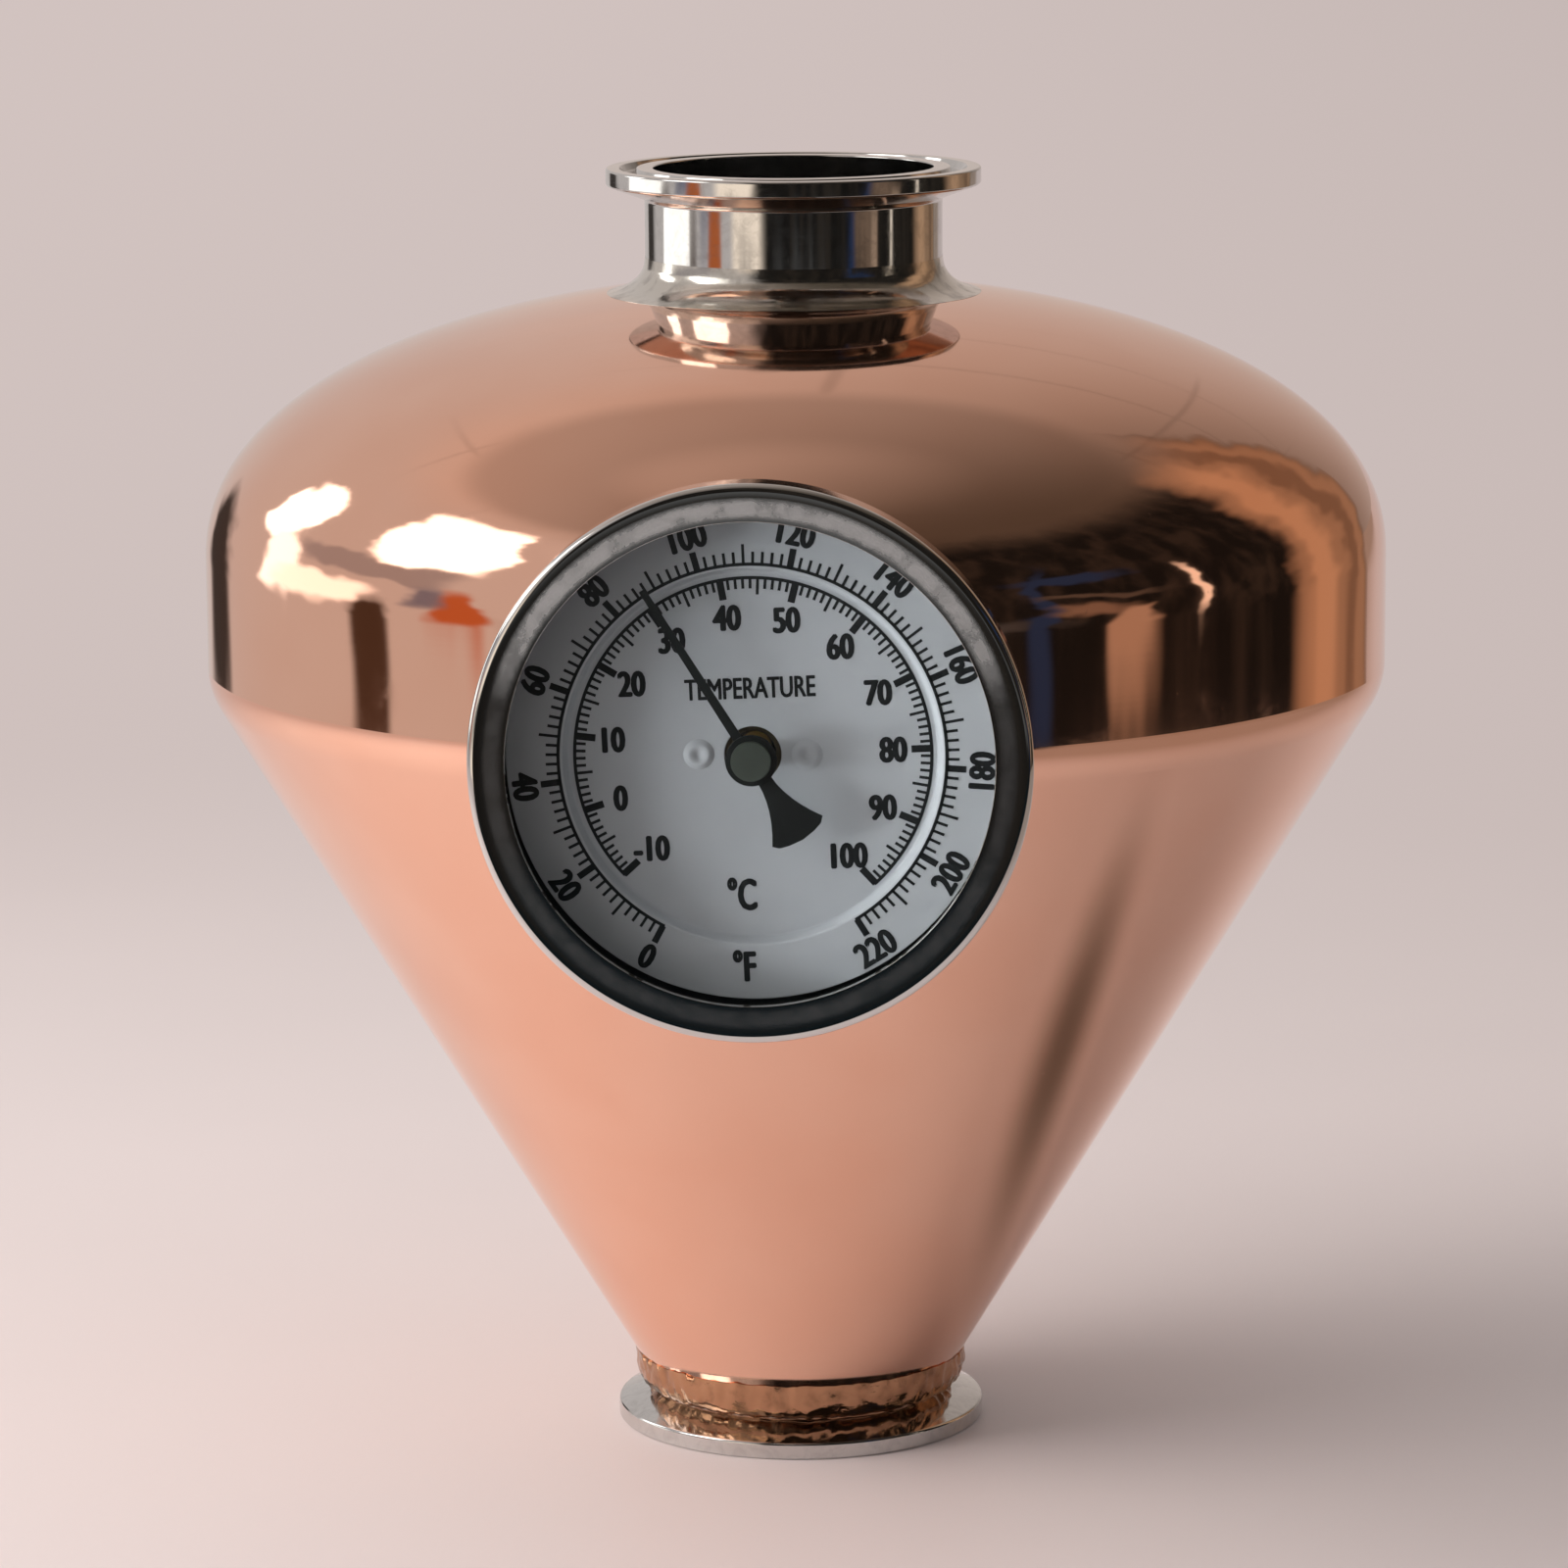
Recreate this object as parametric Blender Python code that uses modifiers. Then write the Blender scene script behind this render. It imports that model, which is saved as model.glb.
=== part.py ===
"""Copper still head with a dial thermometer: a spun copper onion on two stainless sanitary ferrules.

Blender 4.5, metres, +Z up. The origin is the centre of the foot ferrule's face, on the vessel's axis.
The thermometer faces -Y. Run it with: blender --background --python part.py
"""

from math import asin, atan2, cos, hypot, pi, radians, sin, tan

import bmesh
import bpy
from mathutils import Matrix

MM = 0.001
CLEARANCE = 0.3 * MM  # left between pieces that touch
SEGMENTS = 40  # around the vessel and the dial's case
PORT_SEGMENTS = 28  # around the port's boss and fitting
SMALL_SEGMENTS = 16  # around slim pieces
CUT_MARGIN = 5.0 * MM  # how far a cutter runs past what it cuts

# Vessel
SHELL_RADIUS = 101.2 * MM
SHELL_WALL = 1.5 * MM
BAND_BOTTOM = 134.9 * MM  # the two spun halves meet here
BAND_HEIGHT = 18.5 * MM
BAND_TOP = BAND_BOTTOM + BAND_HEIGHT
DOME_RISE = 46.2 * MM  # from the band's top to the apex of the dome's curve
DOME_POWER_UP = 2.15
DOME_POWER_OUT = 2.11
DOME_STEPS = 9
CORNER_RADIUS = 12.0 * MM  # between the band and the cone
CORNER_STEPS = 4
SEAM_BEAD_WIDTH = 2.4 * MM
SEAM_BEAD_DEPTH = 0.7 * MM

# Sanitary ferrules, 2 inch
FERRULE_TUBE_RADIUS = 25.4 * MM
FERRULE_WALL = 1.5 * MM
FERRULE_BORE_RADIUS = FERRULE_TUBE_RADIUS - FERRULE_WALL
FLANGE_REACH = 6.6 * MM
FERRULE_FLANGE_RADIUS = FERRULE_TUBE_RADIUS + FLANGE_REACH
FERRULE_EDGE = 2.85 * MM
FERRULE_TAPER = radians(20)
FERRULE_BREAK = 0.35 * MM  # broken corner of the flange
GROOVE_RADIUS = FERRULE_TUBE_RADIUS + 2.8 * MM  # the clamp gasket's groove
GROOVE_WIDTH = 3.0 * MM
GROOVE_DEPTH = 1.3 * MM
NECK_FERRULE_LENGTH = 21.5 * MM
FOOT_FERRULE_LENGTH = 12.7 * MM
CONE_END = FOOT_FERRULE_LENGTH - 0.7 * MM
CONE_MOUTH_RADIUS = FERRULE_TUBE_RADIUS + 3.26 * MM
NECK_BRAZE_HEIGHT = 5.2 * MM
NECK_BRAZE_REACH = 6.3 * MM
FOOT_BRAZE_HEIGHT = 6.3 * MM
FOOT_BRAZE_STEPS = 5

# Thermometer port. In the dial's own frame, Z is the distance from the vessel's axis.
PORT_HEIGHT = BAND_BOTTOM + 6.7 * MM
BOSS_RADIUS = 13.0 * MM
BOSS_LENGTH = 17.0 * MM
BOSS_INNER_END = SHELL_RADIUS - 5.2 * MM
BOSS_OUTER_END = BOSS_INNER_END + BOSS_LENGTH
BOSS_CHAMFER = 0.8 * MM
BOSS_WALL = 2.3 * MM
PORT_BRAZE_LEG = 3.2 * MM
THREAD_RADIUS = BOSS_RADIUS - BOSS_WALL - CLEARANCE  # half inch pipe thread
THREAD_LENGTH = 15.8 * MM
THREAD_CHAMFER = 0.8 * MM
SHOULDER = BOSS_OUTER_END + CLEARANCE  # where the hexagon meets the boss
HEX_ACROSS_FLATS = 23.8 * MM
HEX_CHAMFER = 0.9 * MM
HEX_LENGTH = 9.0 * MM
FITTING_NECK_RADIUS = 8.0 * MM
FITTING_NECK_LENGTH = 3.4 * MM

# Stem and bimetal movement
STEM_RADIUS = 3.175 * MM
STEM_WALL = 0.5 * MM
STEM_LENGTH = 63.5 * MM  # below the hexagon
PLUG_LENGTH = 3.0 * MM
PLUG_SPIGOT_LENGTH = 2.0 * MM
SPINDLE_RADIUS = 0.75 * MM
RUNNING_CLEARANCE = 0.05 * MM
BUSH_LENGTH = 4.0 * MM
COIL_WIRE_RADIUS = 0.3 * MM
COIL_TURNS = 7
COIL_POINTS_PER_TURN = 10
COIL_LENGTH = 30.0 * MM

# Case, bezel and window
CASE_BACK = SHOULDER + HEX_LENGTH + FITTING_NECK_LENGTH + CLEARANCE
CASE_WALL = 1.0 * MM
CASE_DEPTH = 15.4 * MM
CASE_RADIUS = 38.9 * MM
CASE_CORNER = 3.5 * MM
CASE_RIM = CASE_BACK + CASE_DEPTH
CASE_FLANGE_RADIUS = CASE_RADIUS + 2.0 * MM
CASE_FLANGE_DEPTH = 1.5 * MM
GASKET_THICKNESS = 0.6 * MM
GASKET_WIDTH = 2.4 * MM
GLASS_THICKNESS = 2.5 * MM
GLASS_RADIUS = CASE_FLANGE_RADIUS - 0.2 * MM
BEZEL_RADIUS = CASE_FLANGE_RADIUS + 1.6 * MM
BEZEL_LIP_THICKNESS = 1.0 * MM
BEZEL_LIP_WIDTH = 5.8 * MM
BEZEL_SKIRT_END = CASE_RIM - 3.6 * MM
BEZEL_HOOK_THICKNESS = 1.2 * MM
BEZEL_GROOVE_RADIUS = BEZEL_RADIUS - 2.2 * MM
BEZEL_GROOVE_DEPTH = 0.35 * MM
BEZEL_ROLL = 0.9 * MM
WINDOW_RADIUS = BEZEL_RADIUS - BEZEL_LIP_WIDTH

# Dial
DIAL_FACE = CASE_BACK + 9.4 * MM  # front of the sunk inner disc
DIAL_STEP_HEIGHT = 2.1 * MM  # the outer scale ring stands this far in front of it
DIAL_RADIUS = CASE_RADIUS - CASE_WALL - 0.6 * MM
SCALE_RING_WIDTH = 8.6 * MM
DIAL_STEP_OUTER_RADIUS = DIAL_RADIUS - SCALE_RING_WIDTH
DIAL_STEP_INNER_RADIUS = DIAL_STEP_OUTER_RADIUS - 0.8 * MM
DIAL_THICKNESS = 0.8 * MM
DIAL_HOLE_RADIUS = 4.3 * MM
RIVET_OFFSET = 8.2 * MM
RIVET_RADIUS = 1.9 * MM
RIVET_DISH = 0.2 * MM
RIVET_SHANK_RADIUS = 0.9 * MM
RIVET_SEAT_FLOOR = 0.2 * MM  # of the dial's thickness, left under the head
CARRIER_FLANGE_RADIUS = 12.0 * MM
CARRIER_FLANGE_THICKNESS = 1.2 * MM
CARRIER_HUB_RADIUS = 6.5 * MM

# Pointer
POINTER_RISE = 2.3 * MM  # in front of the scale ring
POINTER_BACK = DIAL_FACE + DIAL_STEP_HEIGHT + POINTER_RISE
POINTER_THICKNESS = 0.4 * MM
POINTER_TIP_RADIUS = DIAL_STEP_INNER_RADIUS + 2.5 * MM
POINTER_HUB_WIDTH = 1.47 * MM
POINTER_TIP_WIDTH = 1.06 * MM
POINTER_EYE_RADIUS = 3.6 * MM
POINTER_TAIL_RADIUS = 14.4 * MM
POINTER_TAIL_NECK_WIDTH = 2.2 * MM
POINTER_TAIL_WIDTH = 9.0 * MM
POINTER_TAIL_CORNER = 0.8 * MM
POINTER_TAIL_STEPS = 6
POINTER_ANGLE = radians(32.3)  # anticlockwise from upright, seen from the front
HUB_SHANK_RADIUS = 1.9 * MM
HUB_SHANK_LENGTH = 3.4 * MM
HUB_FLANGE_RADIUS = 3.9 * MM
HUB_FLANGE_THICKNESS = 0.5 * MM
CAP_RADIUS = 3.05 * MM
CAP_THICKNESS = 0.5 * MM
CAP_BEVEL = 0.2 * MM

# name: colour, metallic, roughness, alpha
MATERIALS = {
    "copper": ((0.80, 0.42, 0.28), 1.0, 0.08, 1.0),
    "copper_braze": ((0.70, 0.40, 0.27), 1.0, 0.25, 1.0),
    "silver_braze": ((0.72, 0.68, 0.62), 1.0, 0.15, 1.0),
    "stainless": ((0.72, 0.71, 0.69), 1.0, 0.12, 1.0),
    "brass": ((0.78, 0.62, 0.32), 1.0, 0.3, 1.0),
    "bimetal": ((0.62, 0.58, 0.5), 1.0, 0.35, 1.0),
    "black_rubber": ((0.03, 0.03, 0.03), 0.0, 0.6, 1.0),
    "glass": ((0.95, 0.97, 0.97), 0.0, 0.02, 0.15),
    "dial_white": ((0.86, 0.86, 0.85), 0.0, 0.45, 1.0),
    "pointer_black": ((0.02, 0.02, 0.02), 0.0, 0.4, 1.0),
    "cap_grey": ((0.08, 0.09, 0.08), 0.0, 0.45, 1.0),
}


def clear_scene():
    for old in list(bpy.data.objects):
        bpy.data.objects.remove(old, do_unlink=True)


def new_collection(name):
    collection = bpy.data.collections.new(name)
    bpy.context.scene.collection.children.link(collection)
    return collection


def new_material(name):
    colour, metallic, roughness, alpha = MATERIALS[name]
    material = bpy.data.materials.new(name)
    material.use_nodes = True
    shader = material.node_tree.nodes["Principled BSDF"]
    shader.inputs["Base Color"].default_value = (*colour, 1)
    shader.inputs["Metallic"].default_value = metallic
    shader.inputs["Roughness"].default_value = roughness
    shader.inputs["Alpha"].default_value = alpha
    return material


def place(obj, material_name, parent=None, collection=None):
    """Gives the object its own material, its collection and its parent."""
    (collection or still_head).objects.link(obj)
    obj.parent = parent
    if material_name:
        material = new_material(material_name)
        material.name = f"{obj.name}_{material_name}"
        obj.data.materials.clear()
        obj.data.materials.append(material)
    return obj


def freeze(obj):
    """Makes the object's modifiers, or its curve, a plain mesh with smooth round faces."""
    graph = bpy.context.evaluated_depsgraph_get()
    mesh = bpy.data.meshes.new_from_object(obj.evaluated_get(graph))
    work = bmesh.new()
    work.from_mesh(mesh)
    bmesh.ops.remove_doubles(work, verts=work.verts, dist=0.001 * MM)
    work.to_mesh(mesh)
    work.free()
    mesh.shade_smooth()
    mesh.set_sharp_from_angle(angle=radians(25))
    if obj.type == "MESH":
        obj.modifiers.clear()
        obj.data = mesh
        return obj
    solid = bpy.data.objects.new("frozen", mesh)
    for collection in obj.users_collection:
        collection.objects.link(solid)
    solid.parent = obj.parent
    name = obj.name
    bpy.data.objects.remove(obj, do_unlink=True)
    solid.name = name
    return solid


def turned(name, outline, material_name, segments=SEGMENTS, parent=None, collection=None):
    """A solid of revolution about local Z. The outline is (radius, height) points round a ring's section."""
    turn = sum(a[0] * b[1] - b[0] * a[1] for a, b in zip(outline, outline[1:] + outline[:1]))
    if turn > 0:
        outline = outline[::-1]
    on_axis = [i for i, point in enumerate(outline) if point[0] == 0]
    if on_axis:
        # An outline that meets the axis stays open there, starting from its upper end.
        start = max(on_axis, key=lambda i: outline[i][1])
        outline = outline[start:] + outline[:start]
    count = len(outline)
    edges = [(i, i + 1) for i in range(count - 1)]
    if not on_axis:
        edges.append((count - 1, 0))
    mesh = bpy.data.meshes.new(name)
    mesh.from_pydata([(radius, 0, height) for radius, height in outline], edges, [])
    obj = place(bpy.data.objects.new(name, mesh), material_name, parent, collection)
    screw = obj.modifiers.new("Turn", "SCREW")
    screw.steps = screw.render_steps = segments
    screw.use_merge_vertices = True
    screw.merge_threshold = 0.0001 * MM
    bpy.context.view_layer.update()
    return freeze(obj)


def boolean(obj, other, operation="DIFFERENCE"):
    modifier = obj.modifiers.new(operation.title(), "BOOLEAN")
    modifier.operation = operation
    modifier.object = other
    modifier.solver = "EXACT"
    bpy.context.view_layer.update()
    return freeze(obj)


def as_cutter(obj):
    obj.hide_render = True
    obj.display_type = "WIRE"
    return obj


def drill(name, radius, start, end, segments=SMALL_SEGMENTS):
    """A round cutter along the dial's axis."""
    outline = [(0, start), (radius, start), (radius, end), (0, end)]
    return as_cutter(turned(name, outline, None, segments, dial_frame, cutters))


def arc(centre, radius, start, end, steps):
    """Points on an arc in the (radius, height) plane, angles measured from outward towards up."""
    angles = [start + (end - start) * i / steps for i in range(steps + 1)]
    return [(centre[0] + radius * cos(a), centre[1] + radius * sin(a)) for a in angles]


def dome_height(radius, inset=0.0):
    """Height of the dome's surface, or of one that lies inset below it, at a radius."""
    share = (radius / (SHELL_RADIUS - inset)) ** DOME_POWER_OUT
    return BAND_TOP + (DOME_RISE - inset) * (1 - min(share, 1)) ** (1 / DOME_POWER_UP)


def dome_curve(inset, inner_radius):
    """The dome from its hole out to the band's top, evenly spaced in angle."""
    out = SHELL_RADIUS - inset
    first = asin((inner_radius / out) ** (DOME_POWER_OUT / 2))
    points = []
    for step in range(DOME_STEPS + 1):
        angle = first + (pi / 2 - first) * step / DOME_STEPS
        radius = out * sin(angle) ** (2 / DOME_POWER_OUT)
        points.append((radius, dome_height(radius, inset)))
    return points


def cone_angle():
    """From the vertical, so that the cone runs from its mouth to touch the rounded corner."""
    out = SHELL_RADIUS - CORNER_RADIUS - CONE_MOUTH_RADIUS
    up = BAND_BOTTOM - CONE_END
    return atan2(out, up) + asin(CORNER_RADIUS / hypot(out, up))


def cone_curve(inset, end):
    """The band's foot, the rounded corner and the cone, from the seam down to the given height."""
    out = SHELL_RADIUS - inset
    corner = CORNER_RADIUS - inset
    angle = cone_angle()
    points = arc((out - corner, BAND_BOTTOM), corner, 0, -angle, CORNER_STEPS)
    radius, height = points[-1]
    points.append((radius - (height - end) * tan(angle), end))
    return points


def vessel_envelope(name, outset):
    """The vessel's outer form as one solid, larger by outset. It trims what sits on the vessel."""
    profile = [(0, dome_height(0, -outset))] + dome_curve(-outset, CUT_MARGIN)
    profile += cone_curve(-outset, CONE_END) + [(0, CONE_END)]
    return as_cutter(turned(name, profile, None, SEGMENTS, None, cutters))


def make_vessel():
    hole = FERRULE_TUBE_RADIUS + CLEARANCE
    seam_top = BAND_BOTTOM + CLEARANCE / 2
    outer = dome_curve(0, hole) + [(SHELL_RADIUS, seam_top)]
    inner = dome_curve(SHELL_WALL, hole) + [(SHELL_RADIUS - SHELL_WALL, seam_top)]
    dome = turned("dome_shell", outer + inner[::-1], "copper")

    outer = cone_curve(0, CONE_END)
    inner = cone_curve(SHELL_WALL, CONE_END)
    lowered = BAND_BOTTOM - CLEARANCE / 2
    outer[0] = (SHELL_RADIUS, lowered)
    inner[0] = (SHELL_RADIUS - SHELL_WALL, lowered)
    cone = turned("cone_shell", outer + inner[::-1], "copper")

    wall = SHELL_RADIUS - SHELL_WALL - CLEARANCE
    half = SEAM_BEAD_WIDTH / 2
    bead = [(wall, BAND_BOTTOM + half), (wall, BAND_BOTTOM), (wall, BAND_BOTTOM - half)]
    crown = wall - SEAM_BEAD_DEPTH
    bead += [(crown, BAND_BOTTOM - half / 2), (crown, BAND_BOTTOM + half / 2)]
    seam = turned("seam_weld", bead, "copper_braze")

    hole_radius = BOSS_RADIUS + CLEARANCE
    start = BOSS_INNER_END - 2 * CUT_MARGIN
    port_hole = drill("port_hole", hole_radius, start, BOSS_OUTER_END, PORT_SEGMENTS)
    for shell in (dome, cone, seam):
        boolean(shell, port_hole)


def ferrule_outline(length):
    """A ferrule standing on its clamp face, from the face up to the end of its tube."""
    face_edge = FERRULE_FLANGE_RADIUS - FERRULE_BREAK
    taper = (FERRULE_FLANGE_RADIUS - FERRULE_TUBE_RADIUS) * tan(FERRULE_TAPER)
    groove_out = GROOVE_RADIUS + GROOVE_WIDTH / 2
    groove_in = GROOVE_RADIUS - GROOVE_WIDTH / 2
    return [
        (FERRULE_BORE_RADIUS, 0),
        (groove_in, 0),
        (groove_in + GROOVE_WIDTH / 5, GROOVE_DEPTH),
        (groove_out - GROOVE_WIDTH / 5, GROOVE_DEPTH),
        (groove_out, 0),
        (face_edge, 0),
        (FERRULE_FLANGE_RADIUS, FERRULE_BREAK),
        (FERRULE_FLANGE_RADIUS, FERRULE_EDGE - FERRULE_BREAK),
        (face_edge, FERRULE_EDGE),
        (FERRULE_TUBE_RADIUS, FERRULE_EDGE + taper),
        (FERRULE_TUBE_RADIUS, length),
        (FERRULE_BORE_RADIUS, length),
    ]


def make_ferrules():
    turned("foot_ferrule", ferrule_outline(FOOT_FERRULE_LENGTH), "stainless")
    top = neck_top()
    outline = [(radius, top - height) for radius, height in ferrule_outline(NECK_FERRULE_LENGTH)]
    turned("neck_ferrule", outline, "stainless")


def neck_top():
    """The neck ferrule's tube ends within the thickness of the dome's wall."""
    return dome_height(FERRULE_TUBE_RADIUS) - 0.9 * MM + NECK_FERRULE_LENGTH


def make_brazes():
    inside = FERRULE_TUBE_RADIUS + CLEARANCE
    toe = inside + NECK_BRAZE_REACH
    low_in = dome_height(inside) + CLEARANCE
    low_out = dome_height(toe) + CLEARANCE
    crown = low_in + NECK_BRAZE_HEIGHT
    concave = [
        (inside + 0.25 * MM, crown),
        (inside + 0.22 * NECK_BRAZE_REACH, low_in + 0.55 * NECK_BRAZE_HEIGHT),
        (inside + 0.55 * NECK_BRAZE_REACH, low_in + 0.22 * NECK_BRAZE_HEIGHT),
        (toe, low_out + 0.25 * MM),
    ]
    fillet = [(inside, low_in), (inside, crown)] + concave + [(toe, low_out)]
    turned("neck_braze_fillet", fillet, "silver_braze")

    mouth = cone_curve(0, CONE_END)[-1][0]
    top = CONE_END - CLEARANCE
    swell = []
    for step in range(FOOT_BRAZE_STEPS):
        angle = pi / 2 * step / FOOT_BRAZE_STEPS
        reach = (mouth - inside) * cos(angle) ** 0.6 + 0.2 * MM
        swell.append((inside + reach, top - FOOT_BRAZE_HEIGHT * sin(angle)))
    low = top - FOOT_BRAZE_HEIGHT
    bead = [(inside, top)] + swell + [(inside + 0.3 * MM, low), (inside, low)]
    turned("foot_braze_bead", bead, "copper_braze")


def make_port():
    bore = THREAD_RADIUS + CLEARANCE
    boss = [
        (bore, BOSS_INNER_END),
        (bore, BOSS_OUTER_END),
        (BOSS_RADIUS - BOSS_CHAMFER, BOSS_OUTER_END),
        (BOSS_RADIUS, BOSS_OUTER_END - BOSS_CHAMFER),
        (BOSS_RADIUS, BOSS_INNER_END),
    ]
    turned("port_boss", boss, "stainless", PORT_SEGMENTS, dial_frame)

    ring_in = BOSS_RADIUS + CLEARANCE
    start = SHELL_RADIUS - CUT_MARGIN
    crown = SHELL_RADIUS + CLEARANCE + PORT_BRAZE_LEG
    fillet = [
        (ring_in, start),
        (ring_in, crown),
        (ring_in + 0.3 * MM, crown),
        (ring_in + 0.3 * PORT_BRAZE_LEG, crown - 0.6 * PORT_BRAZE_LEG),
        (ring_in + PORT_BRAZE_LEG, crown - PORT_BRAZE_LEG - 0.2 * MM),
        (ring_in + PORT_BRAZE_LEG, start),
    ]
    braze = turned("port_braze_fillet", fillet, "silver_braze", PORT_SEGMENTS, dial_frame)
    boolean(braze, vessel_envelope("port_seat", CLEARANCE))


def hex_prism(name, bottom, top):
    """A hexagonal prism along the dial's axis."""
    corner_radius = HEX_ACROSS_FLATS / 2 / cos(pi / 6)
    mesh = bpy.data.meshes.new(name)
    work = bmesh.new()
    bmesh.ops.create_cone(
        work, cap_ends=True, segments=6, radius1=corner_radius, radius2=corner_radius, depth=top - bottom
    )
    bmesh.ops.translate(work, verts=work.verts, vec=(0, 0, (top + bottom) / 2))
    work.to_mesh(mesh)
    work.free()
    return place(bpy.data.objects.new(name, mesh), None, dial_frame, cutters)


def make_fitting():
    thread_end = SHOULDER - THREAD_LENGTH
    hex_end = SHOULDER + HEX_LENGTH
    half_flats = HEX_ACROSS_FLATS / 2
    widest = half_flats * 1.12
    body = [
        (0, thread_end),
        (THREAD_RADIUS - THREAD_CHAMFER, thread_end),
        (THREAD_RADIUS, thread_end + THREAD_CHAMFER),
        (THREAD_RADIUS, SHOULDER),
        (half_flats - 0.2 * MM, SHOULDER),
        (widest, SHOULDER + HEX_CHAMFER),
        (widest, hex_end - HEX_CHAMFER),
        (half_flats - 0.2 * MM, hex_end),
        (FITTING_NECK_RADIUS, hex_end),
        (FITTING_NECK_RADIUS, CASE_BACK - CLEARANCE),
        (0, CASE_BACK - CLEARANCE),
    ]
    fitting = turned("hex_fitting", body, "stainless", PORT_SEGMENTS, dial_frame)
    start = thread_end - CUT_MARGIN
    end = CASE_BACK + CUT_MARGIN
    prism = as_cutter(hex_prism("hexagon", start, end))
    boolean(fitting, prism, "INTERSECT")
    boolean(fitting, drill("stem_bore", STEM_RADIUS + CLEARANCE, start, end))


def stem_tip():
    return SHOULDER - STEM_LENGTH


def tube(name, outer, inner, start, end, material_name, parent):
    outline = [(inner, start), (inner, end), (outer, end), (outer, start)]
    return turned(name, outline, material_name, SMALL_SEGMENTS, parent)


def make_stem():
    inside = STEM_RADIUS - STEM_WALL
    tip = stem_tip()
    stem_end = CASE_BACK + CASE_WALL + 1.0 * MM
    plug_end = tip + PLUG_LENGTH
    tube("stem_tube", STEM_RADIUS, inside, plug_end + CLEARANCE, stem_end, "stainless", dial_frame)
    plug = [(0, tip), (STEM_RADIUS * 0.6, tip), (STEM_RADIUS, tip + 1.2 * MM), (STEM_RADIUS, plug_end)]
    spigot_end = plug_end + PLUG_SPIGOT_LENGTH
    plug += [(inside - CLEARANCE, plug_end), (inside - CLEARANCE, spigot_end), (0, spigot_end)]
    turned("stem_tip_plug", plug, "stainless", SMALL_SEGMENTS, dial_frame)

    bush_out = inside - CLEARANCE
    bush_in = SPINDLE_RADIUS + RUNNING_CLEARANCE
    coil_start = spigot_end + CLEARANCE + COIL_WIRE_RADIUS
    coil_end = coil_start + COIL_LENGTH
    lower = coil_end + 3 * MM
    tube("lower_spindle_bush", bush_out, bush_in, lower, lower + BUSH_LENGTH, "brass", dial_frame)
    upper = stem_end - BUSH_LENGTH
    tube("upper_spindle_bush", bush_out, bush_in, upper, stem_end, "brass", dial_frame)
    make_coil(coil_start)

    spindle_start = coil_start + COIL_WIRE_RADIUS
    spindle_end = pointer_front() + CLEARANCE + HUB_FLANGE_THICKNESS
    rod = [(0, spindle_start), (SPINDLE_RADIUS, spindle_start)]
    rod += [(SPINDLE_RADIUS, spindle_end), (0, spindle_end)]
    turned("spindle", rod, "stainless", 16, pointer_axis)


def make_coil(start):
    """The bimetal helix round the spindle, a wire on a poly spline."""
    inside = STEM_RADIUS - STEM_WALL
    radius = (inside + SPINDLE_RADIUS) / 2
    count = COIL_TURNS * COIL_POINTS_PER_TURN + 1
    curve = bpy.data.curves.new("bimetal_coil", "CURVE")
    curve.dimensions = "3D"
    curve.bevel_depth = COIL_WIRE_RADIUS
    curve.bevel_resolution = 2
    curve.use_fill_caps = True
    spline = curve.splines.new("POLY")
    spline.points.add(count - 1)
    for i, point in enumerate(spline.points):
        angle = 2 * pi * i / COIL_POINTS_PER_TURN
        point.co = (radius * cos(angle), radius * sin(angle), start + COIL_LENGTH * i / (count - 1), 1)
    place(bpy.data.objects.new("bimetal_coil", curve), "bimetal", dial_frame)


def make_case():
    stem_hole = STEM_RADIUS + CLEARANCE
    back = CASE_BACK
    inner = CASE_RADIUS - CASE_WALL
    outline = [(stem_hole, back)]
    outline += arc((CASE_RADIUS - CASE_CORNER, back + CASE_CORNER), CASE_CORNER, -pi / 2, 0, 4)
    outline += [
        (CASE_RADIUS, CASE_RIM - CASE_FLANGE_DEPTH),
        (CASE_FLANGE_RADIUS, CASE_RIM - CASE_FLANGE_DEPTH),
        (CASE_FLANGE_RADIUS, CASE_RIM),
        (inner, CASE_RIM),
    ]
    corner = CASE_CORNER - CASE_WALL
    outline += arc((inner - corner, back + CASE_WALL + corner), corner, 0, -pi / 2, 3)
    outline.append((stem_hole, back + CASE_WALL))
    turned("case_cup", outline, "stainless", SEGMENTS, dial_frame)

    gasket_back = CASE_RIM + CLEARANCE
    gasket_front = gasket_back + GASKET_THICKNESS
    gasket_in = GLASS_RADIUS - GASKET_WIDTH
    gasket = [(gasket_in, gasket_back), (gasket_in, gasket_front)]
    gasket += [(GLASS_RADIUS, gasket_front), (GLASS_RADIUS, gasket_back)]
    turned("window_gasket", gasket, "black_rubber", SEGMENTS, dial_frame)

    glass_back = gasket_front + CLEARANCE
    glass_front = glass_back + GLASS_THICKNESS
    glass = [(0, glass_back), (GLASS_RADIUS, glass_back), (GLASS_RADIUS, glass_front), (0, glass_front)]
    turned("window_glass", glass, "glass", SEGMENTS, dial_frame)
    make_bezel(glass_front + CLEARANCE)


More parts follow.
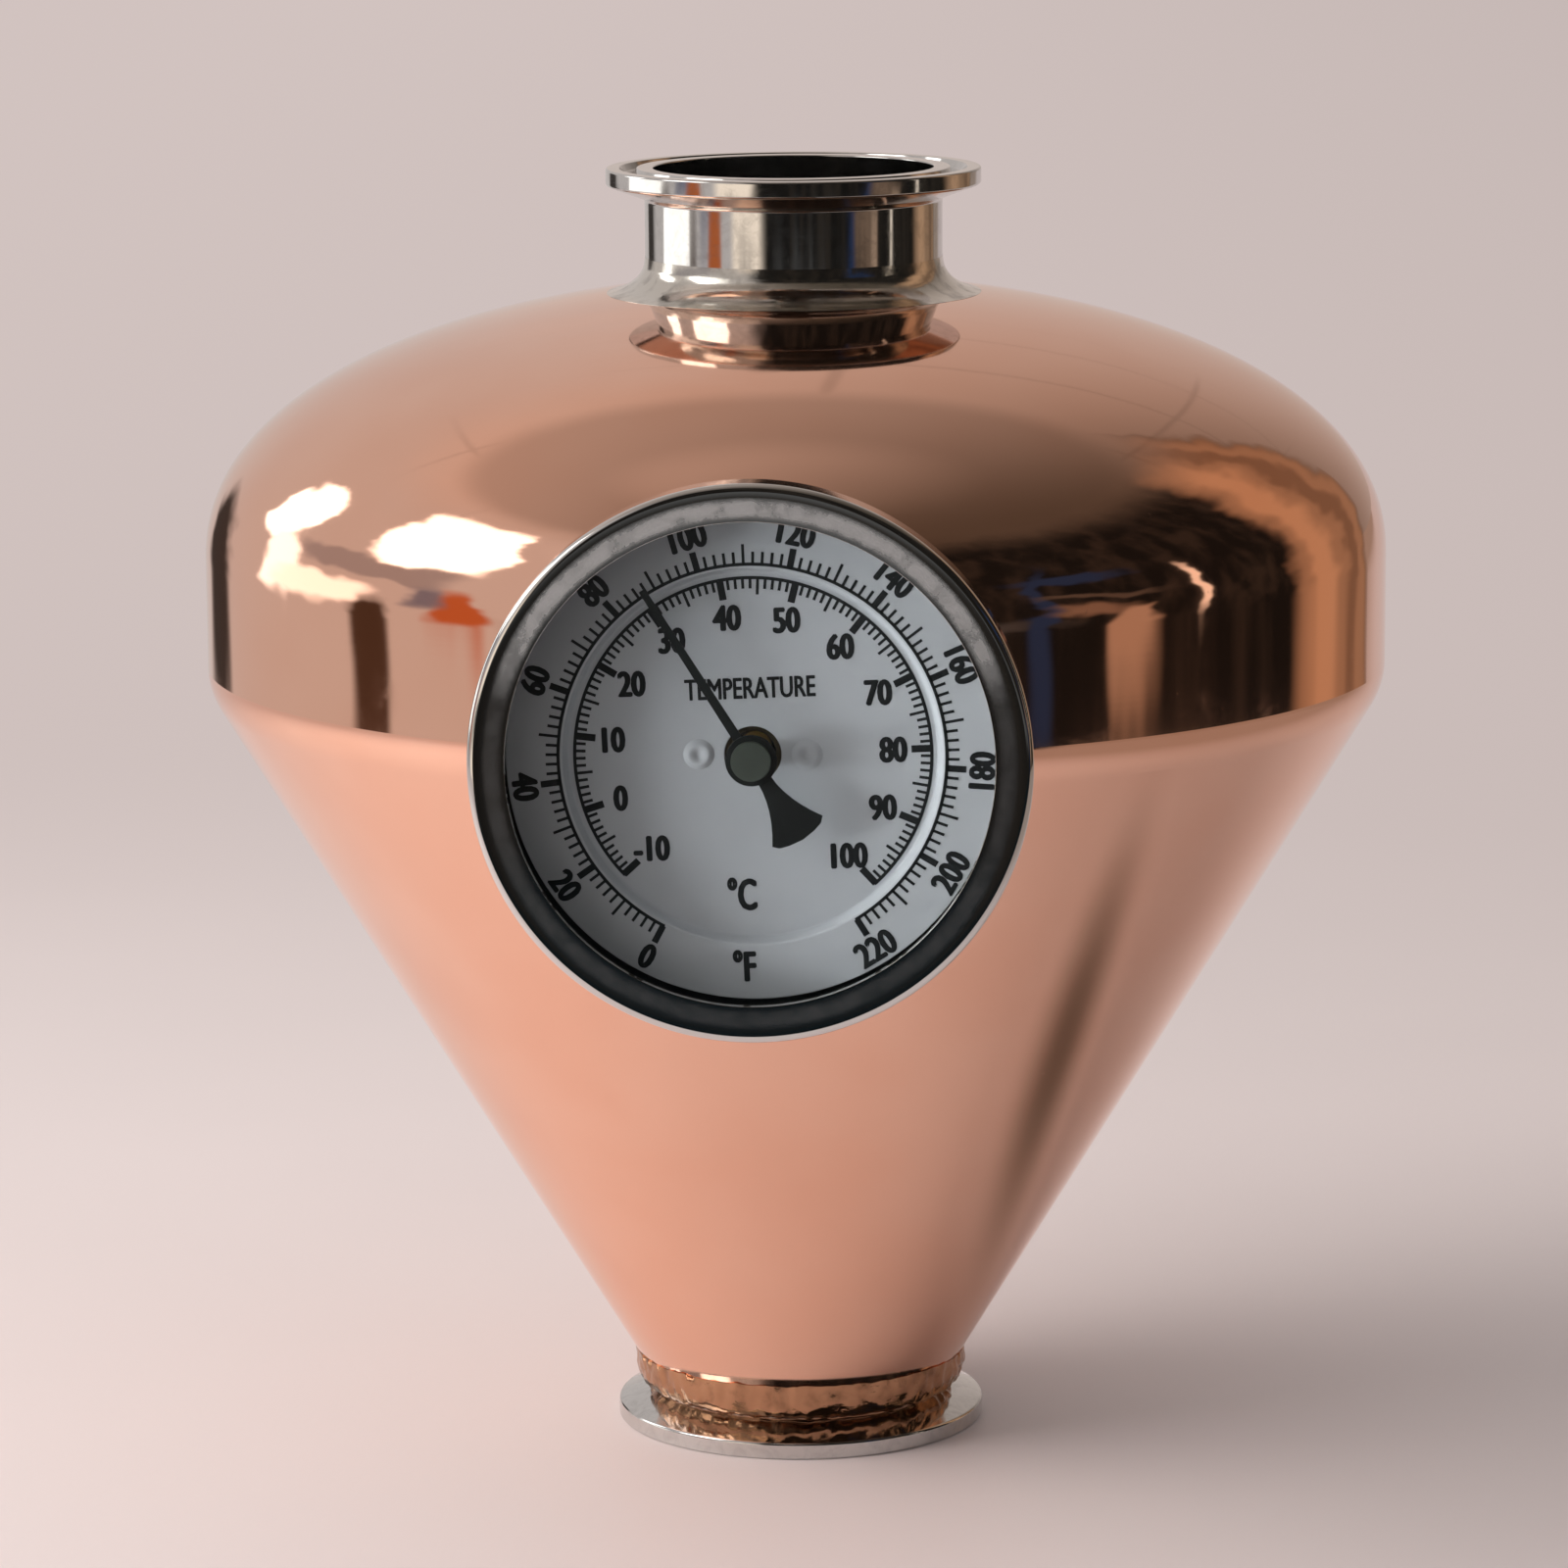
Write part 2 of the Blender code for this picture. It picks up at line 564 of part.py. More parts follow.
def make_bezel(lip_back):
    """A rolled ring: its lip holds the glass and its skirt is crimped behind the case's flange."""
    skirt_in = CASE_FLANGE_RADIUS + CLEARANCE
    front = lip_back + BEZEL_LIP_THICKNESS
    hook_front = CASE_RIM - CASE_FLANGE_DEPTH - CLEARANCE
    hook_in = CASE_RADIUS + CLEARANCE
    groove = BEZEL_GROOVE_RADIUS
    outline = arc((BEZEL_RADIUS - BEZEL_ROLL, front - BEZEL_ROLL), BEZEL_ROLL, 0, pi / 2, 3)
    outline += [
        (groove + 0.3 * MM, front),
        (groove, front - BEZEL_GROOVE_DEPTH),
        (groove - 0.3 * MM, front),
        (WINDOW_RADIUS + 0.5 * MM, front),
        (WINDOW_RADIUS, front - 0.4 * MM),
        (WINDOW_RADIUS, lip_back),
        (skirt_in, lip_back),
        (skirt_in, hook_front),
        (hook_in, hook_front),
        (hook_in, hook_front - BEZEL_HOOK_THICKNESS),
        (BEZEL_RADIUS - BEZEL_ROLL, BEZEL_SKIRT_END),
        (BEZEL_RADIUS, BEZEL_SKIRT_END + BEZEL_ROLL),
    ]
    turned("bezel_ring", outline, "stainless", SEGMENTS, dial_frame)


def make_dial():
    raised = DIAL_FACE + DIAL_STEP_HEIGHT
    shift = DIAL_THICKNESS * 0.4  # keeps the pressed cone as thick as the disc
    outline = [
        (DIAL_HOLE_RADIUS, DIAL_FACE),
        (DIAL_STEP_INNER_RADIUS, DIAL_FACE),
        (DIAL_STEP_OUTER_RADIUS, raised),
        (DIAL_RADIUS, raised),
        (DIAL_RADIUS, raised - DIAL_THICKNESS),
        (DIAL_STEP_OUTER_RADIUS + shift, raised - DIAL_THICKNESS),
        (DIAL_STEP_INNER_RADIUS + shift, DIAL_FACE - DIAL_THICKNESS),
        (DIAL_HOLE_RADIUS, DIAL_FACE - DIAL_THICKNESS),
    ]
    dial = turned("dial_plate", outline, "dial_white", SEGMENTS, dial_frame)

    flange_front = DIAL_FACE - DIAL_THICKNESS - CLEARANCE
    flange_back = flange_front - CARRIER_FLANGE_THICKNESS
    seat = CASE_BACK + CASE_WALL + CLEARANCE
    bore = STEM_RADIUS + CLEARANCE
    carrier_outline = [
        (bore, seat),
        (bore, flange_front),
        (CARRIER_FLANGE_RADIUS, flange_front),
        (CARRIER_FLANGE_RADIUS, flange_back),
        (CARRIER_HUB_RADIUS, flange_back),
        (CARRIER_HUB_RADIUS, seat),
    ]
    carrier = turned("dial_carrier", carrier_outline, "brass", PORT_SEGMENTS, dial_frame)

    for side, name in ((-1, "left"), (1, "right")):
        rivet_to_dial(name, side, flange_back, (dial, carrier))


def rivet_to_dial(name, side, back, holds):
    """A flush rivet with a dished head, and its seat cut in the pieces that it holds."""
    centre = Matrix.Translation((side * RIVET_OFFSET, 0, 0))
    seat_floor = DIAL_FACE - DIAL_THICKNESS + RIVET_SEAT_FLOOR
    seat_radius = RIVET_RADIUS + CLEARANCE
    hole_radius = RIVET_SHANK_RADIUS + CLEARANCE
    past_back = back - CUT_MARGIN / 5
    past_face = DIAL_FACE + CUT_MARGIN / 5
    seat = [
        (0, past_back),
        (hole_radius, past_back),
        (hole_radius, seat_floor),
        (seat_radius, seat_floor),
        (seat_radius, past_face),
        (0, past_face),
    ]
    cutter = as_cutter(turned(f"rivet_seat_{name}", seat, None, SMALL_SEGMENTS, dial_frame, cutters))
    cutter.data.transform(centre)
    for piece in holds:
        boolean(piece, cutter)
    head_back = seat_floor + CLEARANCE
    outline = [
        (0, back),
        (RIVET_SHANK_RADIUS, back),
        (RIVET_SHANK_RADIUS, head_back),
        (RIVET_RADIUS, head_back),
        (RIVET_RADIUS, DIAL_FACE),
        (RIVET_RADIUS * 0.7, DIAL_FACE - RIVET_DISH / 2),
        (0, DIAL_FACE - RIVET_DISH),
    ]
    rivet = turned(f"dial_rivet_{name}", outline, "dial_white", SMALL_SEGMENTS, dial_frame)
    rivet.data.transform(centre)


def pointer_front():
    return POINTER_BACK + POINTER_THICKNESS


def eye_crossing(half_width):
    """How far along the pointer a strip of this half width meets the eye's circle."""
    return (POINTER_EYE_RADIUS**2 - half_width**2) ** 0.5


def pointer_outline():
    """The upright pointer, anticlockwise from its tip, with its eye at the origin and a flared tail."""
    tip = POINTER_TIP_WIDTH / 2
    neck = POINTER_HUB_WIDTH / 2
    start = (-neck, eye_crossing(neck))
    tail_neck = POINTER_TAIL_NECK_WIDTH / 2
    left = [(-tip, POINTER_TIP_RADIUS), start]
    first = pi - asin(start[1] / POINTER_EYE_RADIUS)
    last = pi + asin(eye_crossing(tail_neck) / POINTER_EYE_RADIUS)
    left += arc((0, 0), POINTER_EYE_RADIUS, first, last, 6)[1:]
    top = -eye_crossing(tail_neck)
    bottom = -POINTER_TAIL_RADIUS * cos(asin(POINTER_TAIL_WIDTH / 2 / POINTER_TAIL_RADIUS))
    for i in range(1, POINTER_TAIL_STEPS + 1):
        share = i / POINTER_TAIL_STEPS
        width = tail_neck + (POINTER_TAIL_WIDTH / 2 - tail_neck) * share**1.9
        left.append((-width, top + (bottom + POINTER_TAIL_CORNER - top) * share))
    left.append((-POINTER_TAIL_WIDTH / 2 + POINTER_TAIL_CORNER, bottom))
    left.append((-POINTER_TAIL_WIDTH / 4, bottom - 0.6 * (POINTER_TAIL_RADIUS + bottom)))
    right = [(-x, y) for x, y in reversed(left)]
    return left + [(0, -POINTER_TAIL_RADIUS)] + right


def add_flat_spline(curve, points):
    spline = curve.splines.new("POLY")
    spline.points.add(len(points) - 1)
    for point, (x, y) in zip(spline.points, points):
        point.co = (x, y, 0, 1)
    spline.use_cyclic_u = True


def make_pointer():
    curve = bpy.data.curves.new("pointer", "CURVE")
    curve.dimensions = "2D"
    curve.fill_mode = "BOTH"
    curve.extrude = POINTER_THICKNESS / 2
    add_flat_spline(curve, pointer_outline())
    eye_hole = HUB_SHANK_RADIUS + CLEARANCE
    add_flat_spline(curve, arc((0, 0), eye_hole, 0, 2 * pi, SMALL_SEGMENTS)[1:])
    pointer = place(bpy.data.objects.new("pointer", curve), "pointer_black", pointer_axis)
    pointer.location = (0, 0, POINTER_BACK + POINTER_THICKNESS / 2)

    bore = SPINDLE_RADIUS + CLEARANCE
    flange_back = pointer_front() + CLEARANCE
    flange_front = flange_back + HUB_FLANGE_THICKNESS
    hub = [
        (bore, flange_back - HUB_SHANK_LENGTH),
        (bore, flange_front),
        (HUB_FLANGE_RADIUS, flange_front),
        (HUB_FLANGE_RADIUS, flange_back),
        (HUB_SHANK_RADIUS, flange_back),
        (HUB_SHANK_RADIUS, flange_back - HUB_SHANK_LENGTH),
    ]
    turned("pointer_hub", hub, "pointer_black", SMALL_SEGMENTS, pointer_axis)
    cap_back = flange_front + CLEARANCE
    cap_front = cap_back + CAP_THICKNESS
    cap = [(0, cap_back), (CAP_RADIUS, cap_back), (CAP_RADIUS, cap_front - CAP_BEVEL)]
    cap += [(CAP_RADIUS - CAP_BEVEL, cap_front), (0, cap_front)]
    turned("pointer_cap", cap, "cap_grey", SMALL_SEGMENTS, pointer_axis)


def new_empty(name, parent, rotation, location=(0, 0, 0)):
    empty = bpy.data.objects.new(name, None)
    still_head.objects.link(empty)
    empty.parent = parent
    empty.location = location
    empty.rotation_euler = rotation
    empty.empty_display_size = 0.02
    bpy.context.view_layer.update()
    return empty


clear_scene()
still_head = new_collection("still_head")
cutters = new_collection("cutters")
# The dial's frame: local Z points out of the vessel along -Y, local Y points up.
dial_frame = new_empty("dial_frame", None, (pi / 2, 0, 0), (0, 0, PORT_HEIGHT))
pointer_axis = new_empty("pointer_axis", dial_frame, (0, 0, POINTER_ANGLE))
make_vessel()
make_ferrules()
make_brazes()
make_port()
make_fitting()
make_stem()
make_case()
make_dial()
make_pointer()
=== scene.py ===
# %% [markdown]
# # A copper still head with a dial thermometer
# The head is a copper onion, spun in two halves and polished to a mirror. A stainless sanitary
# ferrule is brazed on at each end, and a bimetal thermometer with a glazed dial screws into its side.
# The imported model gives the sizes, the places and the bodies. This script gives every visible piece
# a fine surface and a finish, and then lights it.

# %% Load the frame
from math import asin, atan2, cos, degrees, hypot, pi, radians, sin, tan

import bmesh
import bpy
from mathutils import Matrix, Vector


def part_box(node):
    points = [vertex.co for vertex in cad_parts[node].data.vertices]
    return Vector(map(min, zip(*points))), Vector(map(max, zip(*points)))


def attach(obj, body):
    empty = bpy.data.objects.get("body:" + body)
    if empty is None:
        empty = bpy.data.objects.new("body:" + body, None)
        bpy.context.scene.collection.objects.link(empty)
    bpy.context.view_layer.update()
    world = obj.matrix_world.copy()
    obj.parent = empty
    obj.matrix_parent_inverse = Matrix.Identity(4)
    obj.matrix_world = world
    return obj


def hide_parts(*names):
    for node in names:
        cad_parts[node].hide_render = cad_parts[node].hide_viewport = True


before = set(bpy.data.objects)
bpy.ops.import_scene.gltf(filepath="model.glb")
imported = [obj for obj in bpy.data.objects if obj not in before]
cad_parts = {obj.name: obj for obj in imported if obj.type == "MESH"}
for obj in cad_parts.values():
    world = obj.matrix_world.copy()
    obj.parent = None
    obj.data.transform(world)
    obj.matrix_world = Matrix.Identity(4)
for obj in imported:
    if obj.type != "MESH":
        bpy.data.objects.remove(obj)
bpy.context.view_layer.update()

MM = 0.001

# %% [markdown]
# ## Camera
# Something this small is best looked at from about a metre away through a long lens, because a near
# camera would swell whatever is in front. The camera is placed by its distance, height and turn round
# the vessel, and then tipped down at the dial.

# %% Camera
CAMERA_DISTANCE = 1.0599  # metres from the vessel's axis
CAMERA_HEIGHT = 0.3065
CAMERA_AZIMUTH = radians(2.79)  # to the right of the dial's own direction
CAMERA_TURN = radians(2.913)
CAMERA_PITCH = radians(10.394)
CAMERA_ROLL = radians(-0.377)
FOCAL_LENGTH = 142.7
SENSOR_WIDTH = 36.0
NEAREST, FARTHEST = 0.05, 50


def add_camera():
    data = bpy.data.cameras.new("camera")
    data.lens = FOCAL_LENGTH
    data.sensor_width = SENSOR_WIDTH
    data.clip_start, data.clip_end = NEAREST, FARTHEST
    camera = bpy.data.objects.new("camera", data)
    bpy.context.scene.collection.objects.link(camera)
    place = Matrix.Translation((
        CAMERA_DISTANCE * sin(CAMERA_AZIMUTH),
        -CAMERA_DISTANCE * cos(CAMERA_AZIMUTH),
        CAMERA_HEIGHT,
    ))
    turn = Matrix.Rotation(CAMERA_TURN, 4, "Z")
    tip = Matrix.Rotation(pi / 2 - CAMERA_PITCH, 4, "X")
    roll = Matrix.Rotation(CAMERA_ROLL, 4, "Z")
    camera.matrix_world = place @ turn @ tip @ roll
    bpy.context.scene.camera = camera
    return camera


camera = add_camera()
print("camera at:", [round(c, 3) for c in camera.matrix_world.translation])

# %% [markdown]
# ## Shader expressions
# Node trees get long when each Math node is wired by hand. A small class that wraps a socket lets the
# maths be written as Python, and one method makes every other kind of node.

# %% Shader helper
class Value:
    """A socket in a node tree. Arithmetic on it adds Math nodes."""

    def __init__(self, tree, socket):
        self.tree = tree
        self.socket = socket

    def math(self, operation, *others):
        return self.tree.node("Math", {"operation": operation}, dict(enumerate((self, *others))))

    def __add__(self, other):
        return self.math("ADD", other)

    def __sub__(self, other):
        return self.math("SUBTRACT", other)

    def __mul__(self, other):
        return self.math("MULTIPLY", other)

    def __truediv__(self, other):
        return self.math("DIVIDE", other)

    def __rsub__(self, other):
        return self.tree.node("Math", {"operation": "SUBTRACT"}, {0: other, 1: self})

    __radd__ = __add__
    __rmul__ = __mul__

    def smooth(self, low, high):
        """0 below low and 1 above high, with an eased step between."""
        settings = {"interpolation_type": "SMOOTHSTEP"}
        return self.tree.node("MapRange", settings, {"Value": self, "From Min": low, "From Max": high})

    def within(self, low, high, soft):
        """1 between low and high, falling to 0 over a soft edge outside them."""
        return self.smooth(low - soft, low) * (1 - self.smooth(high, high + soft))


class Tree:
    """A material's or the world's node tree."""

    def __init__(self, owner):
        owner.use_nodes = True
        self.nodes = owner.node_tree.nodes
        self.links = owner.node_tree.links
        self.nodes.clear()

    def node(self, kind, settings=None, sockets=None, output=0):
        """Any node: its settings first, then a value or a link for each socket."""
        made = self.nodes.new("ShaderNode" + kind)
        for name, value in (settings or {}).items():
            setattr(made, name, value)
        for name, value in (sockets or {}).items():
            socket = made.inputs[name]
            if isinstance(value, Value):
                self.links.new(value.socket, socket)
            else:
                socket.default_value = (*value, 1) if socket.type == "RGBA" and len(value) == 3 else value
        return Value(self, made.outputs[output]) if made.outputs else None

    def position(self):
        """Object coordinates in millimetres."""
        place = self.node("TexCoord", output="Object")
        return self.node("Mapping", None, {"Vector": place, "Scale": (1000, 1000, 1000)})

    def noise(self, where, size, detail=3.0, roughness=0.5, distortion=0.0):
        """Noise whose features are about size millimetres across, from 0 to 1."""
        sockets = {"Vector": where, "Scale": 1 / size, "Detail": detail}
        sockets |= {"Roughness": roughness, "Distortion": distortion}
        return self.node("TexNoise", None, sockets)

    def blend(self, share, first, second):
        """A colour that goes from the first to the second."""
        return self.node("Mix", {"data_type": "RGBA"}, {"Factor": share, 6: first, 7: second}, output=2)

    def bump(self, height, strength, distance):
        return self.node("Bump", None, {"Height": height, "Strength": strength, "Distance": distance * MM})

    def shader(self, **sockets):
        return self.node("BsdfPrincipled", None, {k.replace("_", " "): v for k, v in sockets.items()})

    def parts(self, vector):
        """A vector's three numbers."""
        split = self.node("SeparateXYZ", None, {0: vector})
        return [Value(self, split.socket.node.outputs[i]) for i in range(3)]

    def gather(self, x, y, z):
        return self.node("CombineXYZ", None, {0: x, 1: y, 2: z})

    def finish(self, surface, kind="Material"):
        self.node("Output" + kind, None, {"Surface": surface})


def new_material(name):
    material = bpy.data.materials.new(name)
    return material, Tree(material)


print("shader helper ready")

# %% [markdown]
# ## Polished copper
# Spun copper carries rings round its axis from the lathe and a faint haze from the polishing mop. Both
# depend only on the distance from the axis and the height, so the pattern is worked out from those two
# numbers. A mirror shows every dent, so the bump is a few hundredths of a millimetre high.

# %% Copper
# the copper's colour where it is bright and where it is a little deeper, then the two brazes'
COPPER = (0.93, 0.565, 0.42)
COPPER_DEEP = (0.90, 0.52, 0.375)
BRAZE_COPPER = (0.86, 0.50, 0.36)
BRAZE_BRONZE = (0.50, 0.27, 0.155)


def spun_rings(tree, size, seed):
    """Noise that runs in rings round the Z axis, and the position it came from."""
    where = tree.position()
    x, y, z = tree.parts(where)
    radius = (x * x + y * y).math("SQRT")
    return tree.noise(tree.gather(radius, z, seed), size, detail=4), where


def polished_copper(name, seed):
    material, tree = new_material(name)
    rings, where = spun_rings(tree, 1.6, seed)
    broad = tree.noise(where, 34, detail=2)
    haze = tree.noise(where, 11, detail=6, roughness=0.62, distortion=0.4).smooth(0.52, 0.78)
    specks = tree.noise(where, 1.3, detail=2).smooth(0.74, 0.80)
    height = broad + rings * 0.03
    tree.finish(tree.shader(
        Base_Color=tree.blend(broad.smooth(0.3, 0.75), COPPER, COPPER_DEEP),
        Metallic=1.0,
        Roughness=0.04 + rings * 0.02 + haze * 0.06 + specks * 0.12,
        Normal=tree.bump(height, 1.0, 0.05),
    ))
    return material


def flowed_braze(name, colour, grain, height):
    """Braze metal that has flowed and frozen: small lumps and a soft, uneven shine."""
    material, tree = new_material(name)
    where = tree.position()
    lumps = tree.noise(where, grain, detail=3, roughness=0.55)
    stain = tree.noise(where, 4.0, detail=4).smooth(0.45, 0.72)
    dull = tuple(0.62 * c for c in colour)
    tree.finish(tree.shader(
        Base_Color=tree.blend(stain, colour, dull),
        Metallic=1.0,
        Roughness=0.11 + stain * 0.14,
        Normal=tree.bump(lumps, 1.0, height),
    ))
    return material


print("copper finishes ready")

# %% [markdown]
# ## Stainless steel
# The ferrules, the case and the bezel are turned or drawn steel, buffed until they shine. The tool's
# rings follow each piece's own axis: upright for the ferrules and level for the thermometer. The bezel
# has been handled, so grease and polish sit on its lip as grey smears that are rougher than the steel.
# The smears are kept to the upper part of the lip: the grease is real, but keeping it there is a painted
# sheen, grey where light from above falls on the haze.

# %% Stainless steel
STEEL = (0.66, 0.655, 0.64)
# grey of the bezel's grease film, partly real grease and partly painted sheen
GREASE_AND_SHEEN = (0.36, 0.35, 0.345)
LIP_GREASE_AND_SHEEN = 38.3, 39.3, 1.3  # from and to which radius the bezel's lip is smeared, and how softly
RING_SIZE = 0.35
PORT_HEIGHT = (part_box("bezel_ring")[0].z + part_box("bezel_ring")[1].z) / 2


def buffed_steel(name, base, smear, level=False, seed=1.0, grease_and_sheen_from=None, film=0.0):
    """Steel with rings round Z, or round the thermometer's axis if level.

    Thin marks lie all over it, and add smear to its roughness of base. If a share of the way up is given
    for the grease, they are a greasy film instead, on the bezel's lip, from that share up. The grease is
    real; keeping it to the upper part paints a sheen where light from above falls.
    """
    material, tree = new_material(name)
    where = tree.position()
    x, y, z = tree.parts(where)
    if level:
        z, y = y, z - PORT_HEIGHT / MM
    radius = (x * x + y * y).math("SQRT")
    rings = tree.noise(tree.gather(radius, z, seed), RING_SIZE, detail=3)
    if grease_and_sheen_from is None:
        marks = tree.noise(where, 3.2, detail=7, roughness=0.68, distortion=0.8).smooth(0.40, 0.68)
        worn = tuple(0.86 * c for c in STEEL)
    else:
        # painted sheen: the grease film is kept to the upper part of the lip, where light from above makes
        # it look grey
        upper = (y / radius).smooth(grease_and_sheen_from, grease_and_sheen_from + 0.4)
        clouds = tree.noise(where, 2.2, detail=6, roughness=0.6).smooth(0.30, 0.66) * 0.55 + 0.40
        marks = clouds * (upper + 0.07) * radius.within(*LIP_GREASE_AND_SHEEN)
        worn = GREASE_AND_SHEEN
    tree.finish(tree.shader(
        Base_Color=tree.blend(marks, STEEL, worn),
        Metallic=1.0 - marks * film,
        Roughness=base + rings * 0.04 + marks * smear,
        Normal=tree.bump(rings, 1.0, 0.0005),
    ))
    return material


print("height of the thermometer's axis:", round(PORT_HEIGHT / MM, 2), "mm")

# %% [markdown]
# ## Paint, rubber, brass and glass
# The dial is pale enamel on aluminium with a slight sheen, and its colour is painted darker and bluer
# as painted shade. Its numbers are black ink, and the pointer is matt black paint. The window is flat
# clear glass: rays of light pass straight through it, so that the dial behind is lit, while the eye sees
# real glass with its mirror.

# %% Paint, rubber, brass and glass
def painted(name, colour, roughness, speck, tone, gloss=0.5):
    """Paint with a fine orange peel and a slightly uneven tone."""
    material, tree = new_material(name)
    where = tree.position()
    peel = tree.noise(where, speck, detail=3)
    cloud = tree.noise(where, 9.0, detail=4).smooth(0.35, 0.75)
    tree.finish(tree.shader(
        Base_Color=tree.blend(cloud, colour, tuple(tone * c for c in colour)),
        Roughness=roughness + peel * 0.1,
        Specular_IOR_Level=gloss,
        Normal=tree.bump(peel, 1.0, 0.006),
    ))
    return material


def plain_metal(name, colour, roughness):
    """Turned metal that nobody polished."""
    material, tree = new_material(name)
    where = tree.position()
    grain = tree.noise(where, 0.5, detail=4)
    tree.finish(tree.shader(
        Base_Color=tree.blend(grain, colour, tuple(0.8 * c for c in colour)),
        Metallic=1.0,
        Roughness=roughness + grain * 0.15,
        Normal=tree.bump(grain, 1.0, 0.004),
    ))
    return material


def window_pane(name):
    """Clear glass that casts no more shadow than its tint."""
    material, tree = new_material(name)
    glass = tree.shader(Base_Color=(0.97, 0.985, 0.98), Transmission_Weight=1.0, Roughness=0.0, IOR=1.5)
    clear = tree.node("BsdfTransparent", None, {0: (0.96, 0.975, 0.97)})
    shadow = tree.node("LightPath", output="Is Shadow Ray")
    tree.finish(tree.node("MixShader", None, {0: shadow, 1: glass, 2: clear}))
    return material


print("paint, rubber, brass and glass ready")

# %% [markdown]
# ## Turning a piece
# Nearly every piece here is turned, spun or drawn, so it is round about an axis. Its section is drawn
# as a few points, the corners that a maker would break are rounded with a vertex bevel, and the spin
# operator carries the section round. Mirror finishes need many steps, or their reflections break up.

# %% Lathe
LEVEL = Matrix.Translation((0, 0, PORT_HEIGHT)) @ Matrix.Rotation(pi / 2, 4, "X")
ROUND_STEPS = 256
SAME_POINT = 0.0005  # points nearer than this, in millimetres, are one


def turned(outline, steps=ROUND_STEPS, open_ends=False):
    """A solid of revolution about Z from (radius, height) or (radius, height, rounding) in millimetres."""
    work = bmesh.new()
    points = [work.verts.new((p[0] * MM, 0, p[1] * MM)) for p in outline]
    closing = [] if open_ends else points[:1]
    for first, second in zip(points, points[1:] + closing):
        work.edges.new((first, second))
    rounding = {}
    for point, p in zip(points, outline):
        if len(p) > 2:
            rounding.setdefault(p[2], []).append(point)
    for size, corners in rounding.items():
        bmesh.ops.bevel(
            work, geom=corners, offset=size * MM, segments=5, affect="VERTICES", profile=0.5, material=-1
        )
    section = work.verts[:] + work.edges[:]
    bmesh.ops.spin(
        work, geom=section, axis=(0, 0, 1), cent=(0, 0, 0), steps=steps, angle=2 * pi, use_merge=True
    )
    bmesh.ops.remove_doubles(work, verts=work.verts, dist=SAME_POINT * MM)
    return work


def arc(centre, radius, start, end, steps):
    """Points on an arc of the section, in millimetres, angles in radians from outward towards up."""
    angles = [start + (end - start) * i / steps for i in range(steps + 1)]
    return [(centre[0] + radius * cos(a), centre[1] + radius * sin(a)) for a in angles]


def piece(name, work, material, nodes=(), body="head", place=None, crisp=38):
    """Makes the mesh an object that rides on a body and stands for its nodes."""
    if place is not None:
        bmesh.ops.transform(work, matrix=place, verts=work.verts)
    bmesh.ops.recalc_face_normals(work, faces=work.faces)
    mesh = bpy.data.meshes.new(name)
    work.to_mesh(mesh)
    work.free()
    mesh.shade_smooth()
    mesh.set_sharp_from_angle(angle=radians(crisp))
    made = bpy.data.objects.new(name, mesh)
    bpy.context.scene.collection.objects.link(made)
    mesh.materials.append(material)
    even = made.modifiers.new("Even shading", "WEIGHTED_NORMAL")
    even.keep_sharp = True
    even.weight = 50
    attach(made, body)
    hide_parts(*nodes)
    print(f"{name}: {len(mesh.vertices)} points")


print("a mirror finish is turned in", ROUND_STEPS, "steps")

# %% [markdown]
# ## Copper shells
# Two halves are spun over a former and joined at the foot of the straight band. The dome is a squashed
# superellipse, the form a spinner gets by easing the sheet over a rounded chuck. The cone runs straight
# from a rounded corner down to its mouth. Each shell is a thin section with its own inner surface.

# %% Copper shells
SHELL_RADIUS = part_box("dome_shell")[1].x / MM
WALL = 1.5  # of the copper, and of the ferrules' tube
SEAM = (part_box("dome_shell")[0].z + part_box("cone_shell")[1].z) / 2 / MM
BAND_TOP = SEAM + 18.5  # where the dome starts
DOME_RISE = 46.2
POWER_UP, POWER_OUT = 2.15, 2.11  # 2 and 2 would be an ellipse
CORNER = 12.0  # radius between the band and the cone
CONE_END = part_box("cone_shell")[0].z / MM
TUBE_RADIUS = 25.4
MOUTH_RADIUS = TUBE_RADIUS + 3.26  # of the cone's lower end
HOLE_RADIUS = TUBE_RADIUS + 0.3  # in the dome, round the neck


def dome_height(radius, inset=0.0):
    """Height of the dome, or of a surface that lies inset millimetres inside it."""
    share = (radius / (SHELL_RADIUS - inset)) ** POWER_OUT
    return BAND_TOP + (DOME_RISE - inset) * (1 - min(share, 1)) ** (1 / POWER_UP)


def dome_curve(inset, steps=44):
    """From the hole out to the top of the band, evenly spaced in angle."""
    out = SHELL_RADIUS - inset
    first = asin((HOLE_RADIUS / out) ** (POWER_OUT / 2))
    angles = [first + (pi / 2 - first) * i / steps for i in range(steps + 1)]
    radii = [out * sin(a) ** (2 / POWER_OUT) for a in angles]
    return [(r, dome_height(r, inset)) for r in radii]


def cone_angle():
    """The cone's slope from upright, as it leaves the rounded corner and meets its mouth."""
    out = SHELL_RADIUS - CORNER - MOUTH_RADIUS
    up = SEAM - CONE_END
    return atan2(out, up) + asin(CORNER / hypot(out, up))


def cone_curve(inset):
    """From the seam round the corner and down the cone to its mouth."""
    out, corner = SHELL_RADIUS - inset, CORNER - inset
    points = arc((out - corner, SEAM), corner, 0, -cone_angle(), 20)
    radius, height = points[-1]
    slope = tan(cone_angle())
    down = [height - (height - CONE_END) * i / 6 for i in range(1, 7)]
    return points + [(radius - (height - z) * slope, z) for z in down]


